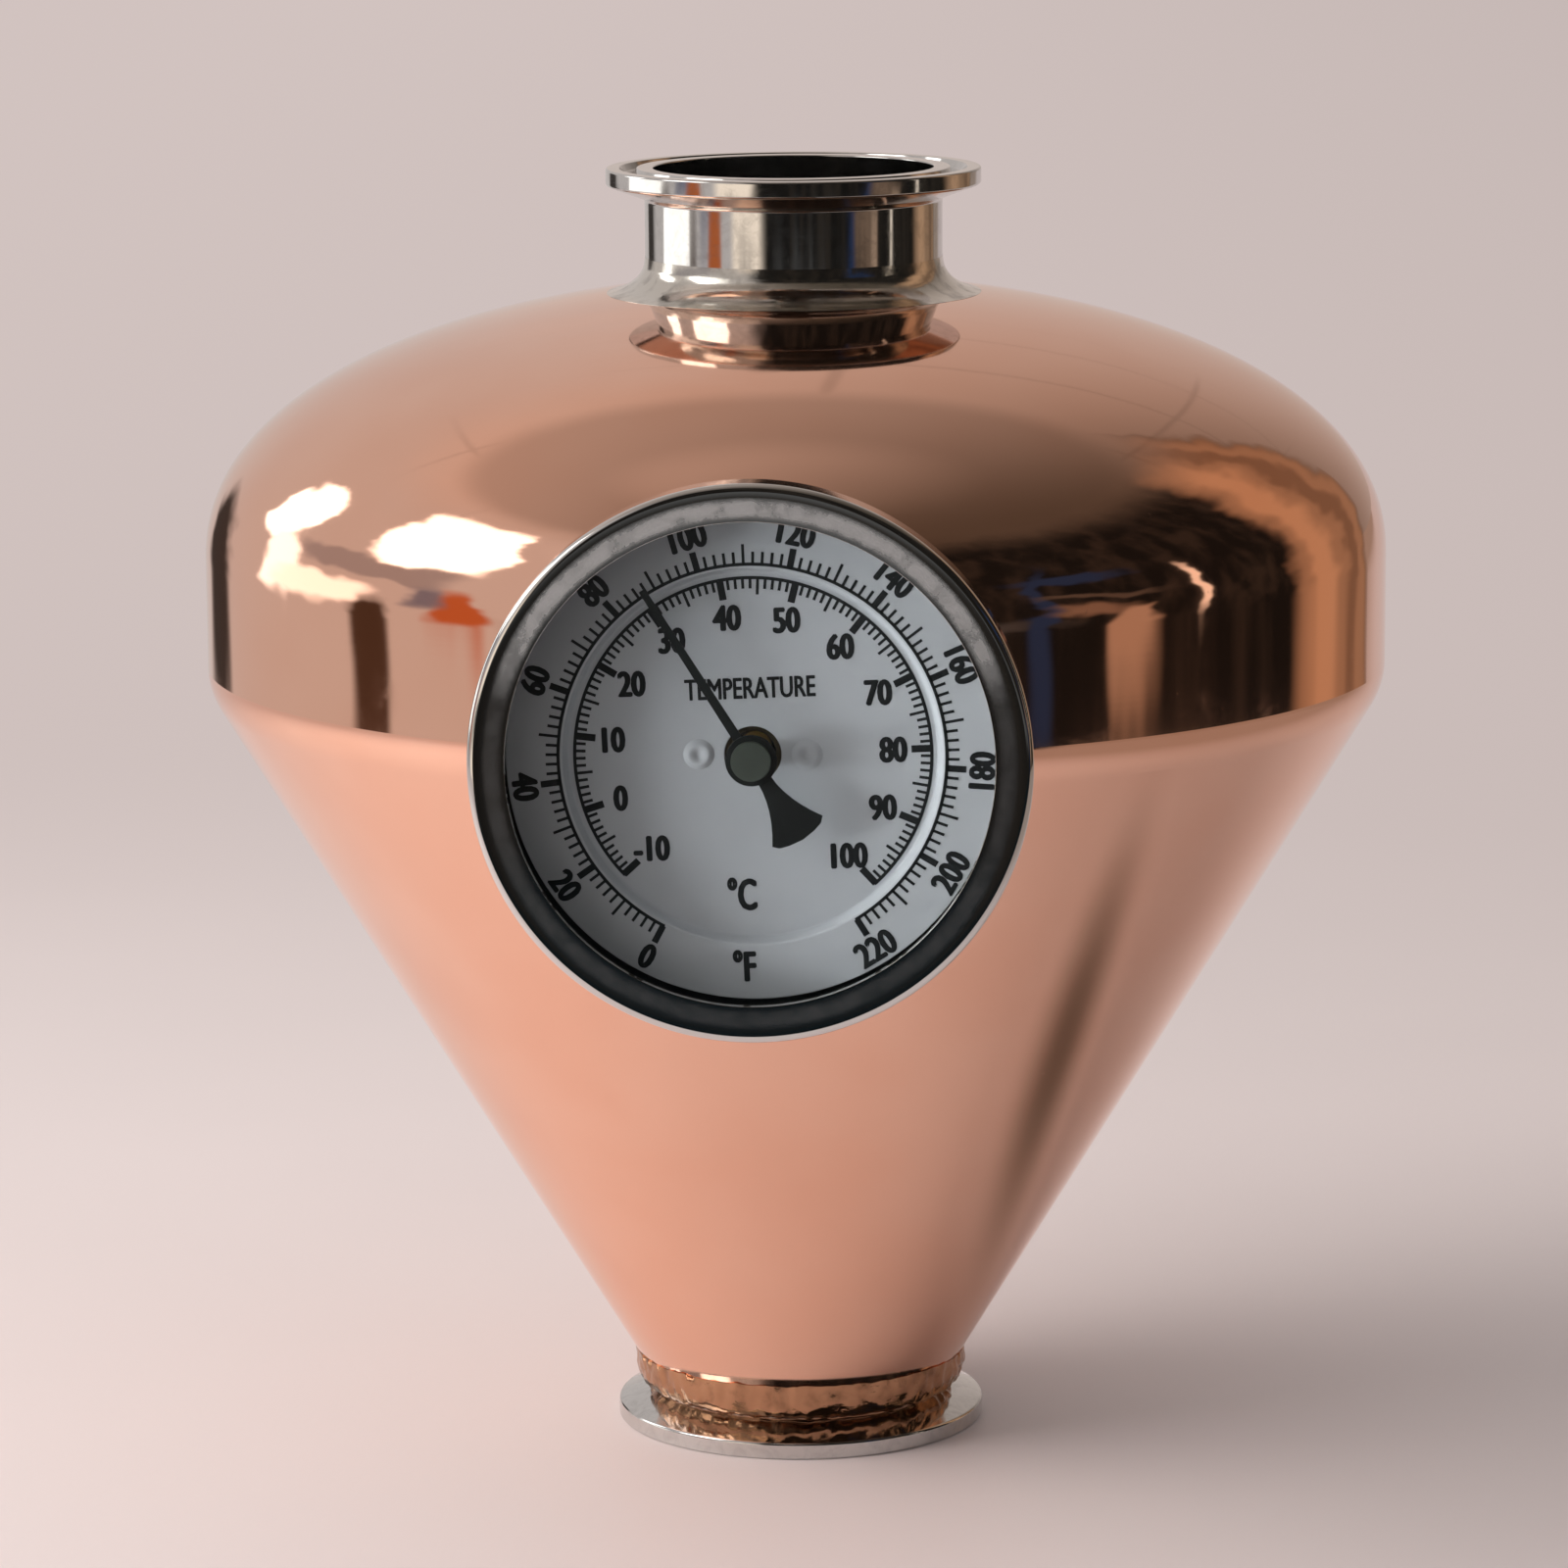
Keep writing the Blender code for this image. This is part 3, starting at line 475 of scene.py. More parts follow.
band = [(SHELL_RADIUS, SEAM + 12), (SHELL_RADIUS, SEAM + 6), (SHELL_RADIUS, SEAM)]
band_inside = [(r - WALL, z) for r, z in band]
dome = turned(dome_curve(0) + band + band_inside[::-1] + dome_curve(WALL)[::-1])
piece("dome", dome, polished_copper("dome_copper", 1.0), ["dome_shell"])
cone = turned(cone_curve(0) + cone_curve(WALL)[::-1])
piece("cone", cone, polished_copper("cone_copper", 7.0), ["cone_shell"])
print("cone slopes", round(degrees(cone_angle()), 1), "degrees from upright")

# %% [markdown]
# ## Sanitary ferrules
# A two inch sanitary ferrule is a short tube with a flange. The back of the flange slopes at 20 degrees
# for the clamp, and its face has a groove for the gasket. The foot and the neck have the same section,
# and the neck's is turned over. Corners are broken by a fraction of a millimetre, and catch the light.

# %% Ferrules
FLANGE_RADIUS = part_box("foot_ferrule")[1].x / MM
FLANGE_RIM = 2.85
CLAMP_SLOPE = radians(20)
BORE_RADIUS = TUBE_RADIUS - WALL
GROOVE_MOUTH, GROOVE_FLOOR, GROOVE_DEPTH = (26.7, 29.7), (27.3, 29.1), 1.3
NECK_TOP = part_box("neck_ferrule")[1].z / MM


def ferrule(length, flip_at=None):
    """A ferrule that stands on its face, or one turned over with its face at the height flip_at."""
    taper = (FLANGE_RADIUS - TUBE_RADIUS) * tan(CLAMP_SLOPE)
    section = [
        (BORE_RADIUS, 0, 0.25), (GROOVE_MOUTH[0], 0, 0.15), (GROOVE_FLOOR[0], GROOVE_DEPTH, 0.3),
        (GROOVE_FLOOR[1], GROOVE_DEPTH, 0.3), (GROOVE_MOUTH[1], 0, 0.15), (FLANGE_RADIUS, 0, 0.4),
        (FLANGE_RADIUS, FLANGE_RIM, 0.4), (TUBE_RADIUS, FLANGE_RIM + taper, 0.5),
        (TUBE_RADIUS, length, 0.2), (BORE_RADIUS, length, 0.2),
    ]
    if flip_at:
        section = [(r, flip_at - z, soft) for r, z, soft in section]
    return turned(section)


foot_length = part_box("foot_ferrule")[1].z / MM
neck_length = NECK_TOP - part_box("neck_ferrule")[0].z / MM
foot_steel = buffed_steel("foot_steel", base=0.05, smear=0.05)
neck_steel = buffed_steel("neck_steel", base=0.05, smear=0.05, seed=4.0)
piece("foot_flange", ferrule(foot_length), foot_steel, ["foot_ferrule"])
piece("neck_flange", ferrule(neck_length, NECK_TOP), neck_steel, ["neck_ferrule"])

# %% [markdown]
# ## Brazed joints
# The neck's joint is a hollow fillet of silver braze, filed and buffed. The foot's is a fat bead of
# darker bronze under the cone's mouth, left as it froze, in lumps and runs. Its points are pushed in
# and out by smooth noise after the spin, which changes its outline too.

# %% Silver fillet at the neck
SILVER = (0.70, 0.67, 0.61)
silver = flowed_braze("silver_braze_metal", SILVER, 2.2, 0.02)
inside = TUBE_RADIUS + 0.02
toe = TUBE_RADIUS + 6.6  # where the fillet ends on the copper
low, low_out = dome_height(inside) - 0.3, dome_height(toe) - 0.25
crown = dome_height(HOLE_RADIUS) + 5.5
hollow = []
for share in (0.03, 0.07, 0.14, 0.25, 0.40, 0.58, 0.78):
    rise = (crown - low_out) * (1 - share**0.42) ** 1.25
    hollow.append((inside + (toe - inside) * share, low_out + 0.3 + rise))
fillet = turned([(inside, low), (inside, crown)] + hollow + [(toe, low_out + 0.28), (toe, low_out)])
piece("neck_fillet", fillet, silver, ["neck_braze_fillet"], crisp=70)

# %% Bronze bead at the foot
from mathutils import noise as field

BEAD_STEPS = 11
TUCK = 0.4  # how far the bead reaches up inside the cone's mouth


def lumpy(work, size, depth, stretch=1.0):
    """Pushes each point along its normal by smooth noise with features of about this size."""
    work.normal_update()
    moves = []
    for v in work.verts:
        where = Vector((v.co.x, v.co.y, v.co.z / stretch)) / (size * MM)
        moves.append(v.normal * field.noise(where) * depth * MM)
    for v, move in zip(work.verts, moves):
        v.co += move


bead_top = CONE_END - 0.3
bead_height = 6.3
reach = MOUTH_RADIUS - inside
swell = []
for i in range(BEAD_STEPS):
    angle = pi / 2 * i / BEAD_STEPS
    swell.append((inside + 0.2 + reach * cos(angle) ** 0.6, bead_top + TUCK - bead_height * sin(angle)))
bead = turned([(inside, bead_top + TUCK)] + swell + [(inside, bead_top - bead_height + 0.2)], steps=360)
lumpy(bead, 1.8, 0.50, stretch=1.2)
bead_metal = flowed_braze("foot_braze_metal", BRAZE_BRONZE, 1.1, 0.09)
piece("foot_bead", bead, bead_metal, ["foot_braze_bead"], crisp=80)

# %% [markdown]
# ## Port, fillet and hexagon
# The thermometer screws into a short steel boss brazed through the band. The fillet round it has to
# follow the copper, which falls away to all sides, so it is turned flat and then each point is moved
# back by as much as the copper falls there. The hexagon is a prism cut by a turned, chamfered body.

# %% Boss and its fillet
BOSS_RADIUS, BOSS_BORE = 13.0, 11.0
BOSS_START, BOSS_END = 96.0, 113.0
LEG = 3.2  # of the fillet


def vessel_radius(z):
    """Radius of the copper's outside at a height near the band."""
    if z > BAND_TOP:
        return SHELL_RADIUS * (1 - ((z - BAND_TOP) / DOME_RISE) ** POWER_UP) ** (1 / POWER_OUT)
    if z > SEAM:
        return SHELL_RADIUS
    return SHELL_RADIUS - CORNER + (CORNER**2 - min(SEAM - z, 0.99 * CORNER) ** 2) ** 0.5


def fall_with_vessel(work):
    """Moves the points of a piece made round the level axis back onto the copper."""
    for v in work.verts:
        across, height = v.co.x / MM, PORT_HEIGHT / MM + v.co.y / MM
        surface = (vessel_radius(height) ** 2 - across**2) ** 0.5
        v.co.z -= (SHELL_RADIUS - surface) * MM


boss = turned([
    (BOSS_BORE, BOSS_START, 0.2), (BOSS_BORE, BOSS_END, 0.2),
    (BOSS_RADIUS, BOSS_END, 0.8), (BOSS_RADIUS, BOSS_START, 0.3),
], 128)
port_steel = buffed_steel("port_steel", base=0.10, smear=0.06, level=True)
piece("boss", boss, port_steel, ["port_boss"], place=LEVEL)

beside_boss = BOSS_RADIUS + 0.05
curve = []
for share in (0, 0.05, 0.15, 0.3, 0.5, 0.75, 1):
    rise = LEG * (1 - share**0.5) ** 1.4
    curve.append((beside_boss + LEG * share, SHELL_RADIUS + 0.1 + rise))
fillet_start, fillet_end = (beside_boss, SHELL_RADIUS - 1.0), (BOSS_RADIUS + LEG, SHELL_RADIUS - 0.8)
port_fillet = turned([fillet_start] + curve + [fillet_end], 160)
fall_with_vessel(port_fillet)
piece("port_fillet", port_fillet, silver, ["port_braze_fillet"], place=LEVEL, crisp=70)

# %% Hexagon
HEX_FLATS = 23.8
THREAD_RADIUS, THREAD_END, THREAD_CHAMFER = 10.4, 97.5, 0.8
NECK_RADIUS = 8.0  # between the hexagon and the case
shoulder, hex_end, case_back = 113.3, 122.3, 126.0
widest = HEX_FLATS / 2 * 1.12
corner_break = 0.9
fitting = turned([
    (0, THREAD_END), (THREAD_RADIUS - THREAD_CHAMFER, THREAD_END),
    (THREAD_RADIUS, THREAD_END + THREAD_CHAMFER), (THREAD_RADIUS, shoulder),
    (HEX_FLATS / 2 - 0.2, shoulder), (widest, shoulder + corner_break),
    (widest, hex_end - corner_break), (HEX_FLATS / 2 - 0.2, hex_end, 0.1), (NECK_RADIUS, hex_end, 0.6),
    (NECK_RADIUS, case_back - 0.3, 0.2), (0, case_back - 0.3),
], 144, open_ends=True)
prism = bmesh.new()
corner = HEX_FLATS / 2 / cos(pi / 6) * MM
bmesh.ops.create_cone(prism, cap_ends=True, segments=6, radius1=corner, radius2=corner, depth=60 * MM)
bmesh.ops.translate(prism, verts=prism.verts, vec=(0, 0, 112 * MM))


def intersect(work, other):
    """What two closed bodies share, worked out by a Boolean and handed back as a bmesh."""
    objects = []
    for part in (work, other):
        bmesh.ops.recalc_face_normals(part, faces=part.faces)
        mesh = bpy.data.meshes.new("part")
        part.to_mesh(mesh)
        part.free()
        objects.append(bpy.data.objects.new("part", mesh))
        bpy.context.scene.collection.objects.link(objects[-1])
    cut = objects[0].modifiers.new("Cut", "BOOLEAN")
    cut.operation, cut.object, cut.solver = "INTERSECT", objects[1], "EXACT"
    graph = bpy.context.evaluated_depsgraph_get()
    result = bmesh.new()
    result.from_object(objects[0], graph)
    for obj in objects:
        bpy.data.objects.remove(obj)
    return result


hexagon = intersect(fitting, prism)
piece("hexagon", hexagon, port_steel, ["hex_fitting"], place=LEVEL, crisp=24)

# %% [markdown]
# ## Case and bezel
# The case is a drawn steel cup. The bezel is a rolled ring that clips over its rim: a round roll at the
# edge, then a broad and nearly flat lip that ends in a short square edge over the glass.

# %% Case
CASE_RADIUS, CASE_INSIDE, RIM_RADIUS = 38.9, 37.9, 40.9
STEM_HOLE = 3.475
case_front = -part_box("case_cup")[0].y / MM
behind_rim = case_front - 1.5
case = turned([
    (STEM_HOLE, case_back), (16.0, case_back, 0.4), (17.0, case_back + 0.45, 0.4),
    (CASE_RADIUS, case_back + 0.45, 3.4), (CASE_RADIUS, behind_rim, 0.5), (RIM_RADIUS, behind_rim, 0.3),
    (RIM_RADIUS, case_front, 0.2), (CASE_INSIDE, case_front, 0.3), (CASE_INSIDE, case_back + 1.45, 2.4),
    (STEM_HOLE, case_back + 1.45),
])
case_steel = buffed_steel("case_steel", base=0.09, smear=0.06, level=True, seed=2.0)
piece("case", case, case_steel, ["case_cup"], place=LEVEL)

# %% Bezel
BEZEL_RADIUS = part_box("bezel_ring")[1].x / MM
ROLL = 1.15  # radius of the rolled edge
front = -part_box("bezel_ring")[0].y / MM
roll_and_lip = arc((BEZEL_RADIUS - ROLL, front - ROLL), ROLL, -0.15, pi / 2, 12) + [
    (40.2, front - 0.04, 0.3), (36.80, front - 0.07, 0.07), (36.72, front - 1.0, 0.1),
]
round_the_rim = [
    (41.0, front - 1.0), (41.0, 139.8, 0.2), (39.2, 139.6, 0.2), (39.2, 138.4, 0.3),
    (41.2, 137.85, 0.5), (BEZEL_RADIUS - 0.15, 138.7, 0.6),
]
bezel = turned(roll_and_lip + round_the_rim)
bezel_steel = buffed_steel(
    "bezel_steel", base=0.05, smear=0.42, level=True, seed=3.0, grease_and_sheen_from=0.22, film=0.7
)
piece("bezel", bezel, bezel_steel, ["bezel_ring"], place=LEVEL)

# %% [markdown]
# ## Dial
# The dial is pressed from thin aluminium: the outer ring stands in front of the inner disc, with a
# sloping step between them that lets the pointer run close to both scales. Two rivets hold it, and
# their dished heads show either side of the hub.

# %% Dial
# painted shade: the pale enamel's colour is written darker and bluer, for the shade it sits in deep in the
# case
SHADED_DIAL_ENAMEL = (0.385, 0.40, 0.425)
FACE, RAISED = 135.4, 137.5  # how far the inner disc and the outer ring stand from the vessel's axis
DIAL_RADIUS, DIAL_HOLE, DIAL_SHEET = 37.3, 4.3, 0.8
RIVET_PLACE = 8.2
plate = turned([
    (DIAL_HOLE, FACE, 0.15), (28.0, FACE, 0.3), (28.8, RAISED, 0.3), (DIAL_RADIUS, RAISED, 0.2),
    (DIAL_RADIUS, RAISED - DIAL_SHEET, 0.2), (29.1, RAISED - DIAL_SHEET, 0.3),
    (28.3, FACE - DIAL_SHEET, 0.3), (DIAL_HOLE, FACE - DIAL_SHEET, 0.15),
])
dial_white = painted("dial_enamel_painted_shade", SHADED_DIAL_ENAMEL, 0.38, 0.35, 0.95)
piece("dial", plate, dial_white, ["dial_plate"], place=LEVEL)
for side, name in ((-1, "left"), (1, "right")):
    dish = [(0, FACE + 0.02), (0.35, FACE + 0.05, 0.1), (1.05, FACE + 0.42, 0.3), (1.55, FACE + 0.46, 0.2)]
    rivet = turned(dish + [(2.35, FACE + 0.01), (2.35, FACE - 0.3), (0, FACE - 0.4)], 64, open_ends=True)
    shift = Matrix.Translation((side * RIVET_PLACE * MM, 0, 0))
    piece("rivet_" + name, rivet, dial_white, ["dial_rivet_" + name], place=LEVEL @ shift)

# %% [markdown]
# ## Printing the dial
# The dial reads 0 to 220 degrees Fahrenheit on the outer ring and -10 to 100 Celsius inside it, both
# over the same 300 degrees of turn. Each mark is a sliver of ink, a cube stretched and turned into
# place. Numbers come from a text object that is made a mesh, measured, and scaled to its real height.

# %% Ink
INK = (0.008, 0.009, 0.010), (0.016, 0.017, 0.018)
INK_RAISE = 0.03
SWEEP = 300.0
DIAL_TILT = 2.2  # the dial is screwed in this far anticlockwise
ink, ink_tree = new_material("dial_ink")
ink_grain = ink_tree.noise(ink_tree.position(), 0.25, detail=2)
ink_tree.finish(ink_tree.shader(
    Base_Color=ink_tree.blend(ink_grain, *INK),
    Roughness=0.42 + ink_grain * 0.12,
    Specular_IOR_Level=0.15,
))
print("the dial's ink is ready")

# %% Marks and lines
ARC_STEPS = 240
HALF_INK = 0.01  # half the thickness of a stroke of ink


def scale_angle(fahrenheit):
    """Radians clockwise from upright, seen from the front."""
    return radians((fahrenheit - 110.0) * SWEEP / 220.0 - DIAL_TILT)


def add_mark(work, angle, start, end, width, face):
    """A stroke of ink from one radius to another."""
    at = Matrix.Rotation(-angle, 4, "Z") @ Matrix.Translation((0, (start + end) / 2 * MM, face * MM))
    size = Matrix.Diagonal((width * MM, abs(end - start) * MM, 2 * HALF_INK * MM, 1))
    bmesh.ops.create_cube(work, size=1, matrix=at @ size)


def add_arc(work, radius, width, face, from_degree, to_degree):
    """The line that the marks stand on."""
    first = scale_angle(from_degree) - width / 2 / radius
    last = scale_angle(to_degree) + width / 2 / radius
    near, far = radius - width / 2, radius + width / 2
    corners = [(near, -HALF_INK), (far, -HALF_INK), (far, HALF_INK), (near, HALF_INK)]
    turn = Matrix.Rotation(-first, 4, "Z")
    section = [work.verts.new(turn @ Vector((0, r * MM, (face + z) * MM))) for r, z in corners]
    start = work.faces.new(section)
    sweep = last - first
    bmesh.ops.spin(
        work, geom=[start], axis=(0, 0, -1), cent=(0, 0, 0), steps=ARC_STEPS, angle=sweep, use_merge=False
    )


print("the dial sweeps", SWEEP, "degrees")

# %% Numbers
TRIAL_SIZE, TRIAL_DEPTH = 10, 0.05  # a text's size and half its thickness, before it is scaled
COPIES, COPY_RAISE = 6, 0.003  # each copy lies a hair above the last, so that no two faces coincide


def text_mesh(text):
    curve = bpy.data.curves.new("text", "FONT")
    curve.body = text
    curve.size = TRIAL_SIZE * MM
    curve.extrude = TRIAL_DEPTH * MM
    curve.resolution_u = 3
    obj = bpy.data.objects.new("text", curve)
    bpy.context.scene.collection.objects.link(obj)
    graph = bpy.context.evaluated_depsgraph_get()
    mesh = bpy.data.meshes.new_from_object(obj.evaluated_get(graph))
    bpy.data.objects.remove(obj)
    return mesh


def add_text(work, text, height, narrow, place, measure="0", heavier=(0.25, 0.15)):
    """Text centred on place, with figures of the given height in millimetres.

    A ring of copies makes the strokes heavier, because an outline offset closes some figures.
    """
    tall = [v.co.y for v in text_mesh(measure).vertices]
    size = height * MM / (max(tall) - min(tall))
    mesh = text_mesh(text)
    across = [v.co.x for v in mesh.vertices]
    middle = Vector(((max(across) + min(across)) / 2, (max(tall) + min(tall)) / 2, 0))
    shrink = Matrix.Diagonal((size * narrow, size, 0.2, 1))
    mesh.transform(shrink @ Matrix.Translation(-middle))
    for i in range(COPIES):
        angle = 2 * pi / COPIES * i
        shift = (heavier[0] * cos(angle) * MM, heavier[1] * sin(angle) * MM, i * COPY_RAISE * MM)
        copy = mesh.copy()
        copy.transform(place @ Matrix.Translation(shift))
        work.from_mesh(copy)
        bpy.data.meshes.remove(copy)
    bpy.data.meshes.remove(mesh)


def upright(x, y, face):
    """A place on the dial where text stands upright, apart from the dial's own tilt."""
    return Matrix.Rotation(radians(DIAL_TILT), 4, "Z") @ Matrix.Translation((x * MM, y * MM, face * MM))


print("numbers are laid", COPIES, "times")

# %% Fahrenheit scale
OUTER_LINE, OUTER_FOOT, OUTER_NUMBERS = 29.35, 29.4, 34.7  # radii of the line, the marks' feet, the numbers
NUMBER_HEIGHT = 3.75
outer = bmesh.new()
face = RAISED + INK_RAISE
add_arc(outer, OUTER_LINE, 0.5, face, 0, 220)
for degree in range(0, 221, 2):
    width, length = (1.0, 2.9) if degree % 20 == 0 else (0.44, 3.0) if degree % 10 == 0 else (0.44, 1.85)
    add_mark(outer, scale_angle(degree), OUTER_FOOT, OUTER_FOOT + length, width, face)
for degree in range(0, 221, 20):
    turn = scale_angle(degree)
    around = Matrix.Rotation(-turn, 4, "Z") @ Matrix.Translation((0, OUTER_NUMBERS * MM, face * MM))
    if abs(turn) > pi / 2:  # numbers on the lower half are turned over, to be read from the outside
        around = around @ Matrix.Rotation(pi, 4, "Z")
    add_text(outer, str(degree), NUMBER_HEIGHT, 0.78, around)
add_text(outer, "°F", 4.4, 0.62, upright(-2.6, -32.2, face), "F")
piece("fahrenheit_scale", outer, ink, place=LEVEL)

# %% Celsius scale
INNER_LINE, INNER_FOOT, INNER_NUMBERS = 27.0, 27.05, 21.2
inner = bmesh.new()
face = FACE + INK_RAISE
add_arc(inner, INNER_LINE, 0.5, face, 14, 212)
for degree in range(-10, 101):
    fahrenheit = 32 + 1.8 * degree
    width, length = (1.1, 3.1) if degree % 10 == 0 else (0.44, 2.6) if degree % 5 == 0 else (0.44, 1.7)
    add_mark(inner, scale_angle(fahrenheit), INNER_FOOT - length, INNER_FOOT, width, face)
for degree in range(-10, 101, 10):
    turn = scale_angle(32 + 1.8 * degree) + radians(DIAL_TILT)
    where = upright(INNER_NUMBERS * sin(turn), INNER_NUMBERS * cos(turn), face)
    add_text(inner, str(degree), NUMBER_HEIGHT, 0.76, where)
add_text(inner, "°C", 4.7, 0.60, upright(-2.6, -21.5, face), "C")
add_text(inner, "TEMPERATURE", 3.1, 0.66, upright(0, 10.2, face), "T", (0.10, 0.07))
piece("celsius_scale", inner, ink, place=LEVEL)

# %% [markdown]
# ## Pointer
# The pointer is a flat blade with a round eye and a flared tail that balances it. Its CAD mesh already
# has the right outline, so a copy of it is merged and its edges are softened with a bevel. The hub and
# its cap are turned.

# %% Pointer
black_paint = painted("pointer_paint", (0.006, 0.007, 0.007), 0.5, 0.3, 1.5, gloss=0.2)
cap_paint = painted("cap_paint", (0.030, 0.036, 0.030), 0.45, 0.25, 1.6, gloss=0.35)
blade = bmesh.new()
blade.from_mesh(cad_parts["pointer"].data)
bmesh.ops.remove_doubles(blade, verts=blade.verts, dist=0.002 * MM)
bmesh.ops.dissolve_limit(blade, angle_limit=radians(1), verts=blade.verts, edges=blade.edges)
rims = [e for e in blade.edges if len(e.link_faces) == 2 and e.calc_face_angle(0) > radians(60)]
bmesh.ops.bevel(blade, geom=rims, offset=0.07 * MM, segments=2, affect="EDGES", profile=0.5, material=-1)
piece("pointer_blade", blade, black_paint, ["pointer"], "pointer_assembly")
HUB_RADIUS, CAP_RADIUS = 3.9, 3.05
hub = turned([
    (1.05, 137.1), (1.05, 141.0), (HUB_RADIUS, 141.0, 0.12), (HUB_RADIUS, 140.5, 0.1),
    (1.9, 140.5, 0.1), (1.9, 137.1, 0.1),
], 96)
piece("hub", hub, black_paint, ["pointer_hub"], "pointer_assembly", LEVEL)
cap_outline = [(0, 141.3), (CAP_RADIUS, 141.3, 0.08), (CAP_RADIUS, 141.8, 0.18), (0, 141.8)]
cap = turned(cap_outline, 96, open_ends=True)
piece("hub_cap", cap, cap_paint, ["pointer_cap"], "pointer_assembly", LEVEL)

# %% [markdown]
# ## Window and its gasket
# The window is a plain disc of glass, pressed against a thin rubber ring by the bezel's lip. Both are
# turned like the rest, with fewer steps, because only their faces show.

# %% Window
GLASS_RADIUS = 40.7
glass_back, glass_front = 142.6, 145.1
pane = [(0, glass_back), (GLASS_RADIUS, glass_back), (GLASS_RADIUS, glass_front), (0, glass_front)]
window = turned(pane, 192, open_ends=True)
piece("window", window, window_pane("window_pane"), ["window_glass"], place=LEVEL)
rubber = painted("gasket_rubber", (0.018, 0.018, 0.019), 0.6, 0.5, 1.4)
gasket = turned([
    (38.3, 141.7, 0.1), (38.3, 142.3, 0.1), (GLASS_RADIUS, 142.3, 0.1), (GLASS_RADIUS, 141.7, 0.1),
], 192)
piece("gasket", gasket, rubber, ["window_gasket"], place=LEVEL)

# %% [markdown]
# ## Pieces kept from the model
# The stem, its plug, the bushes, the coil, the spindle, the carrier and the weld inside the band are
# plain shapes that are hardly seen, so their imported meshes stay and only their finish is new.

# %% Kept pieces
drawn_tube = buffed_steel("stem_steel", base=0.14, smear=0.06, level=True, seed=5.0)
brass = plain_metal("turned_brass", (0.72, 0.52, 0.22), 0.24)
# painted shade: the carrier is brass, coloured nearly black so that the hole round the hub looks shadowed
carrier_brass_in_painted_shade = plain_metal("carrier_brass_painted_shade", (0.12, 0.10, 0.07), 0.42)
strip = plain_metal("bimetal_strip", (0.56, 0.52, 0.45), 0.30)
weld = flowed_braze("seam_weld_metal", BRAZE_COPPER, 1.8, 0.06)
kept = {
    "seam_weld": weld, "stem_tube": drawn_tube, "stem_tip_plug": drawn_tube, "spindle": drawn_tube,
    "lower_spindle_bush": brass, "upper_spindle_bush": brass, "dial_carrier": carrier_brass_in_painted_shade,
    "bimetal_coil": strip,
}
for name, material in kept.items():
    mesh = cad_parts[name].data
    mesh.materials.clear()
    mesh.materials.append(material)
print("finishes given to", len(kept), "kept pieces")

# %% [markdown]
# ## Table
# The head stands on a wide pale table that fills the whole view. Near the head its paint takes the lamps'
# light and shadow. Far off, where a lamp would leave it dim or too bright, the eye sees a plain pale colour
# instead, with painted shade that darkens it towards the right. So do the metal and the glass, but the
# metal also sees where the table ends in front, and painted shade: a darker side at the right and a deep
# shadow beside the foot, as copper does in a room that is lit from one side.

# %% Table paint
FLOOR = (0.69, 0.595, 0.575)
FAR_FLOOR = (0.64, 0.545, 0.525)
# painted shade: the table at the right, darker, as the metal sees it
PAINTED_SHADE_RIGHT = (0.30, 0.225, 0.175)
# painted shadow of the head beside the foot, as the metal sees it
DEEP_SHADE = (0.085, 0.070, 0.055)
PAST_EDGE = (0.007, 0.011, 0.013)
METAL_SEES = 0.85  # how much of the dim side and the shade the metal sees
NEAR, FAR = 230, 780  # between these distances the lit paint gives way to the plain colour
TABLE_EDGE, EDGE_SOFT = 480, 25  # how far in front the metal sees the table end
SHADE_X, SHADE_Y, SHADE_RADIUS = 106, -14, 48
floor_paint, tree = new_material("table_paint")
where = tree.position()
cloud = tree.noise(where, 260, detail=3).smooth(0.3, 0.7)
grain = tree.noise(where, 0.8, detail=2)
x, y, z = tree.parts(where)
paint = tree.shader(
    Base_Color=tree.blend(cloud, FLOOR, tuple(0.96 * c for c in FLOOR)),
    Roughness=0.42 + grain * 0.1,
)
distance = (x * x + y * y).math("SQRT")
eye = tree.node("LightPath", output="Is Camera Ray")
metal = tree.node("LightPath", output="Is Glossy Ray")
seen = (eye + metal + tree.node("LightPath", output="Is Transmission Ray")).math("MINIMUM", 1.0)
print("table paint ready")

# %% What the metal sees of the table
past_edge = (y * -1.0).smooth(TABLE_EDGE - EDGE_SOFT, TABLE_EDGE + EDGE_SOFT) * x.smooth(-420, -260) * metal
# painted shade for the metal only: the darker right side, and the head's shadow beside the foot
beside = x - SHADE_X
along, across = beside * 0.55, (y - SHADE_Y + beside * 0.35) * 1.1  # the shade is longer than it is wide
painted_shadow_by_foot = 1 - (along * along + across * across).math("SQRT").smooth(2, SHADE_RADIUS)
painted_shade = (x - 0.4 * y).smooth(120, 420) * metal * METAL_SEES
painted_shade = painted_shade.math("MAXIMUM", painted_shadow_by_foot * metal * METAL_SEES)
# painted shade: the plain far colour darkens towards the right, as if lit from the left
far = tree.blend(x.smooth(-700, 900), FAR_FLOOR, tuple(0.86 * c for c in FAR_FLOOR))
far = tree.blend(painted_shadow_by_foot * metal, tree.blend(painted_shade, far, PAINTED_SHADE_RIGHT), DEEP_SHADE)
plain = tree.node("Emission", None, {"Color": tree.blend(past_edge, far, PAST_EDGE), "Strength": 1.0})
share = (distance.smooth(NEAR, FAR) * seen).math("MAXIMUM", past_edge).math("MAXIMUM", painted_shade)
tree.finish(tree.node("MixShader", None, {0: share, 1: paint, 2: plain}))
print("what the metal sees is added")

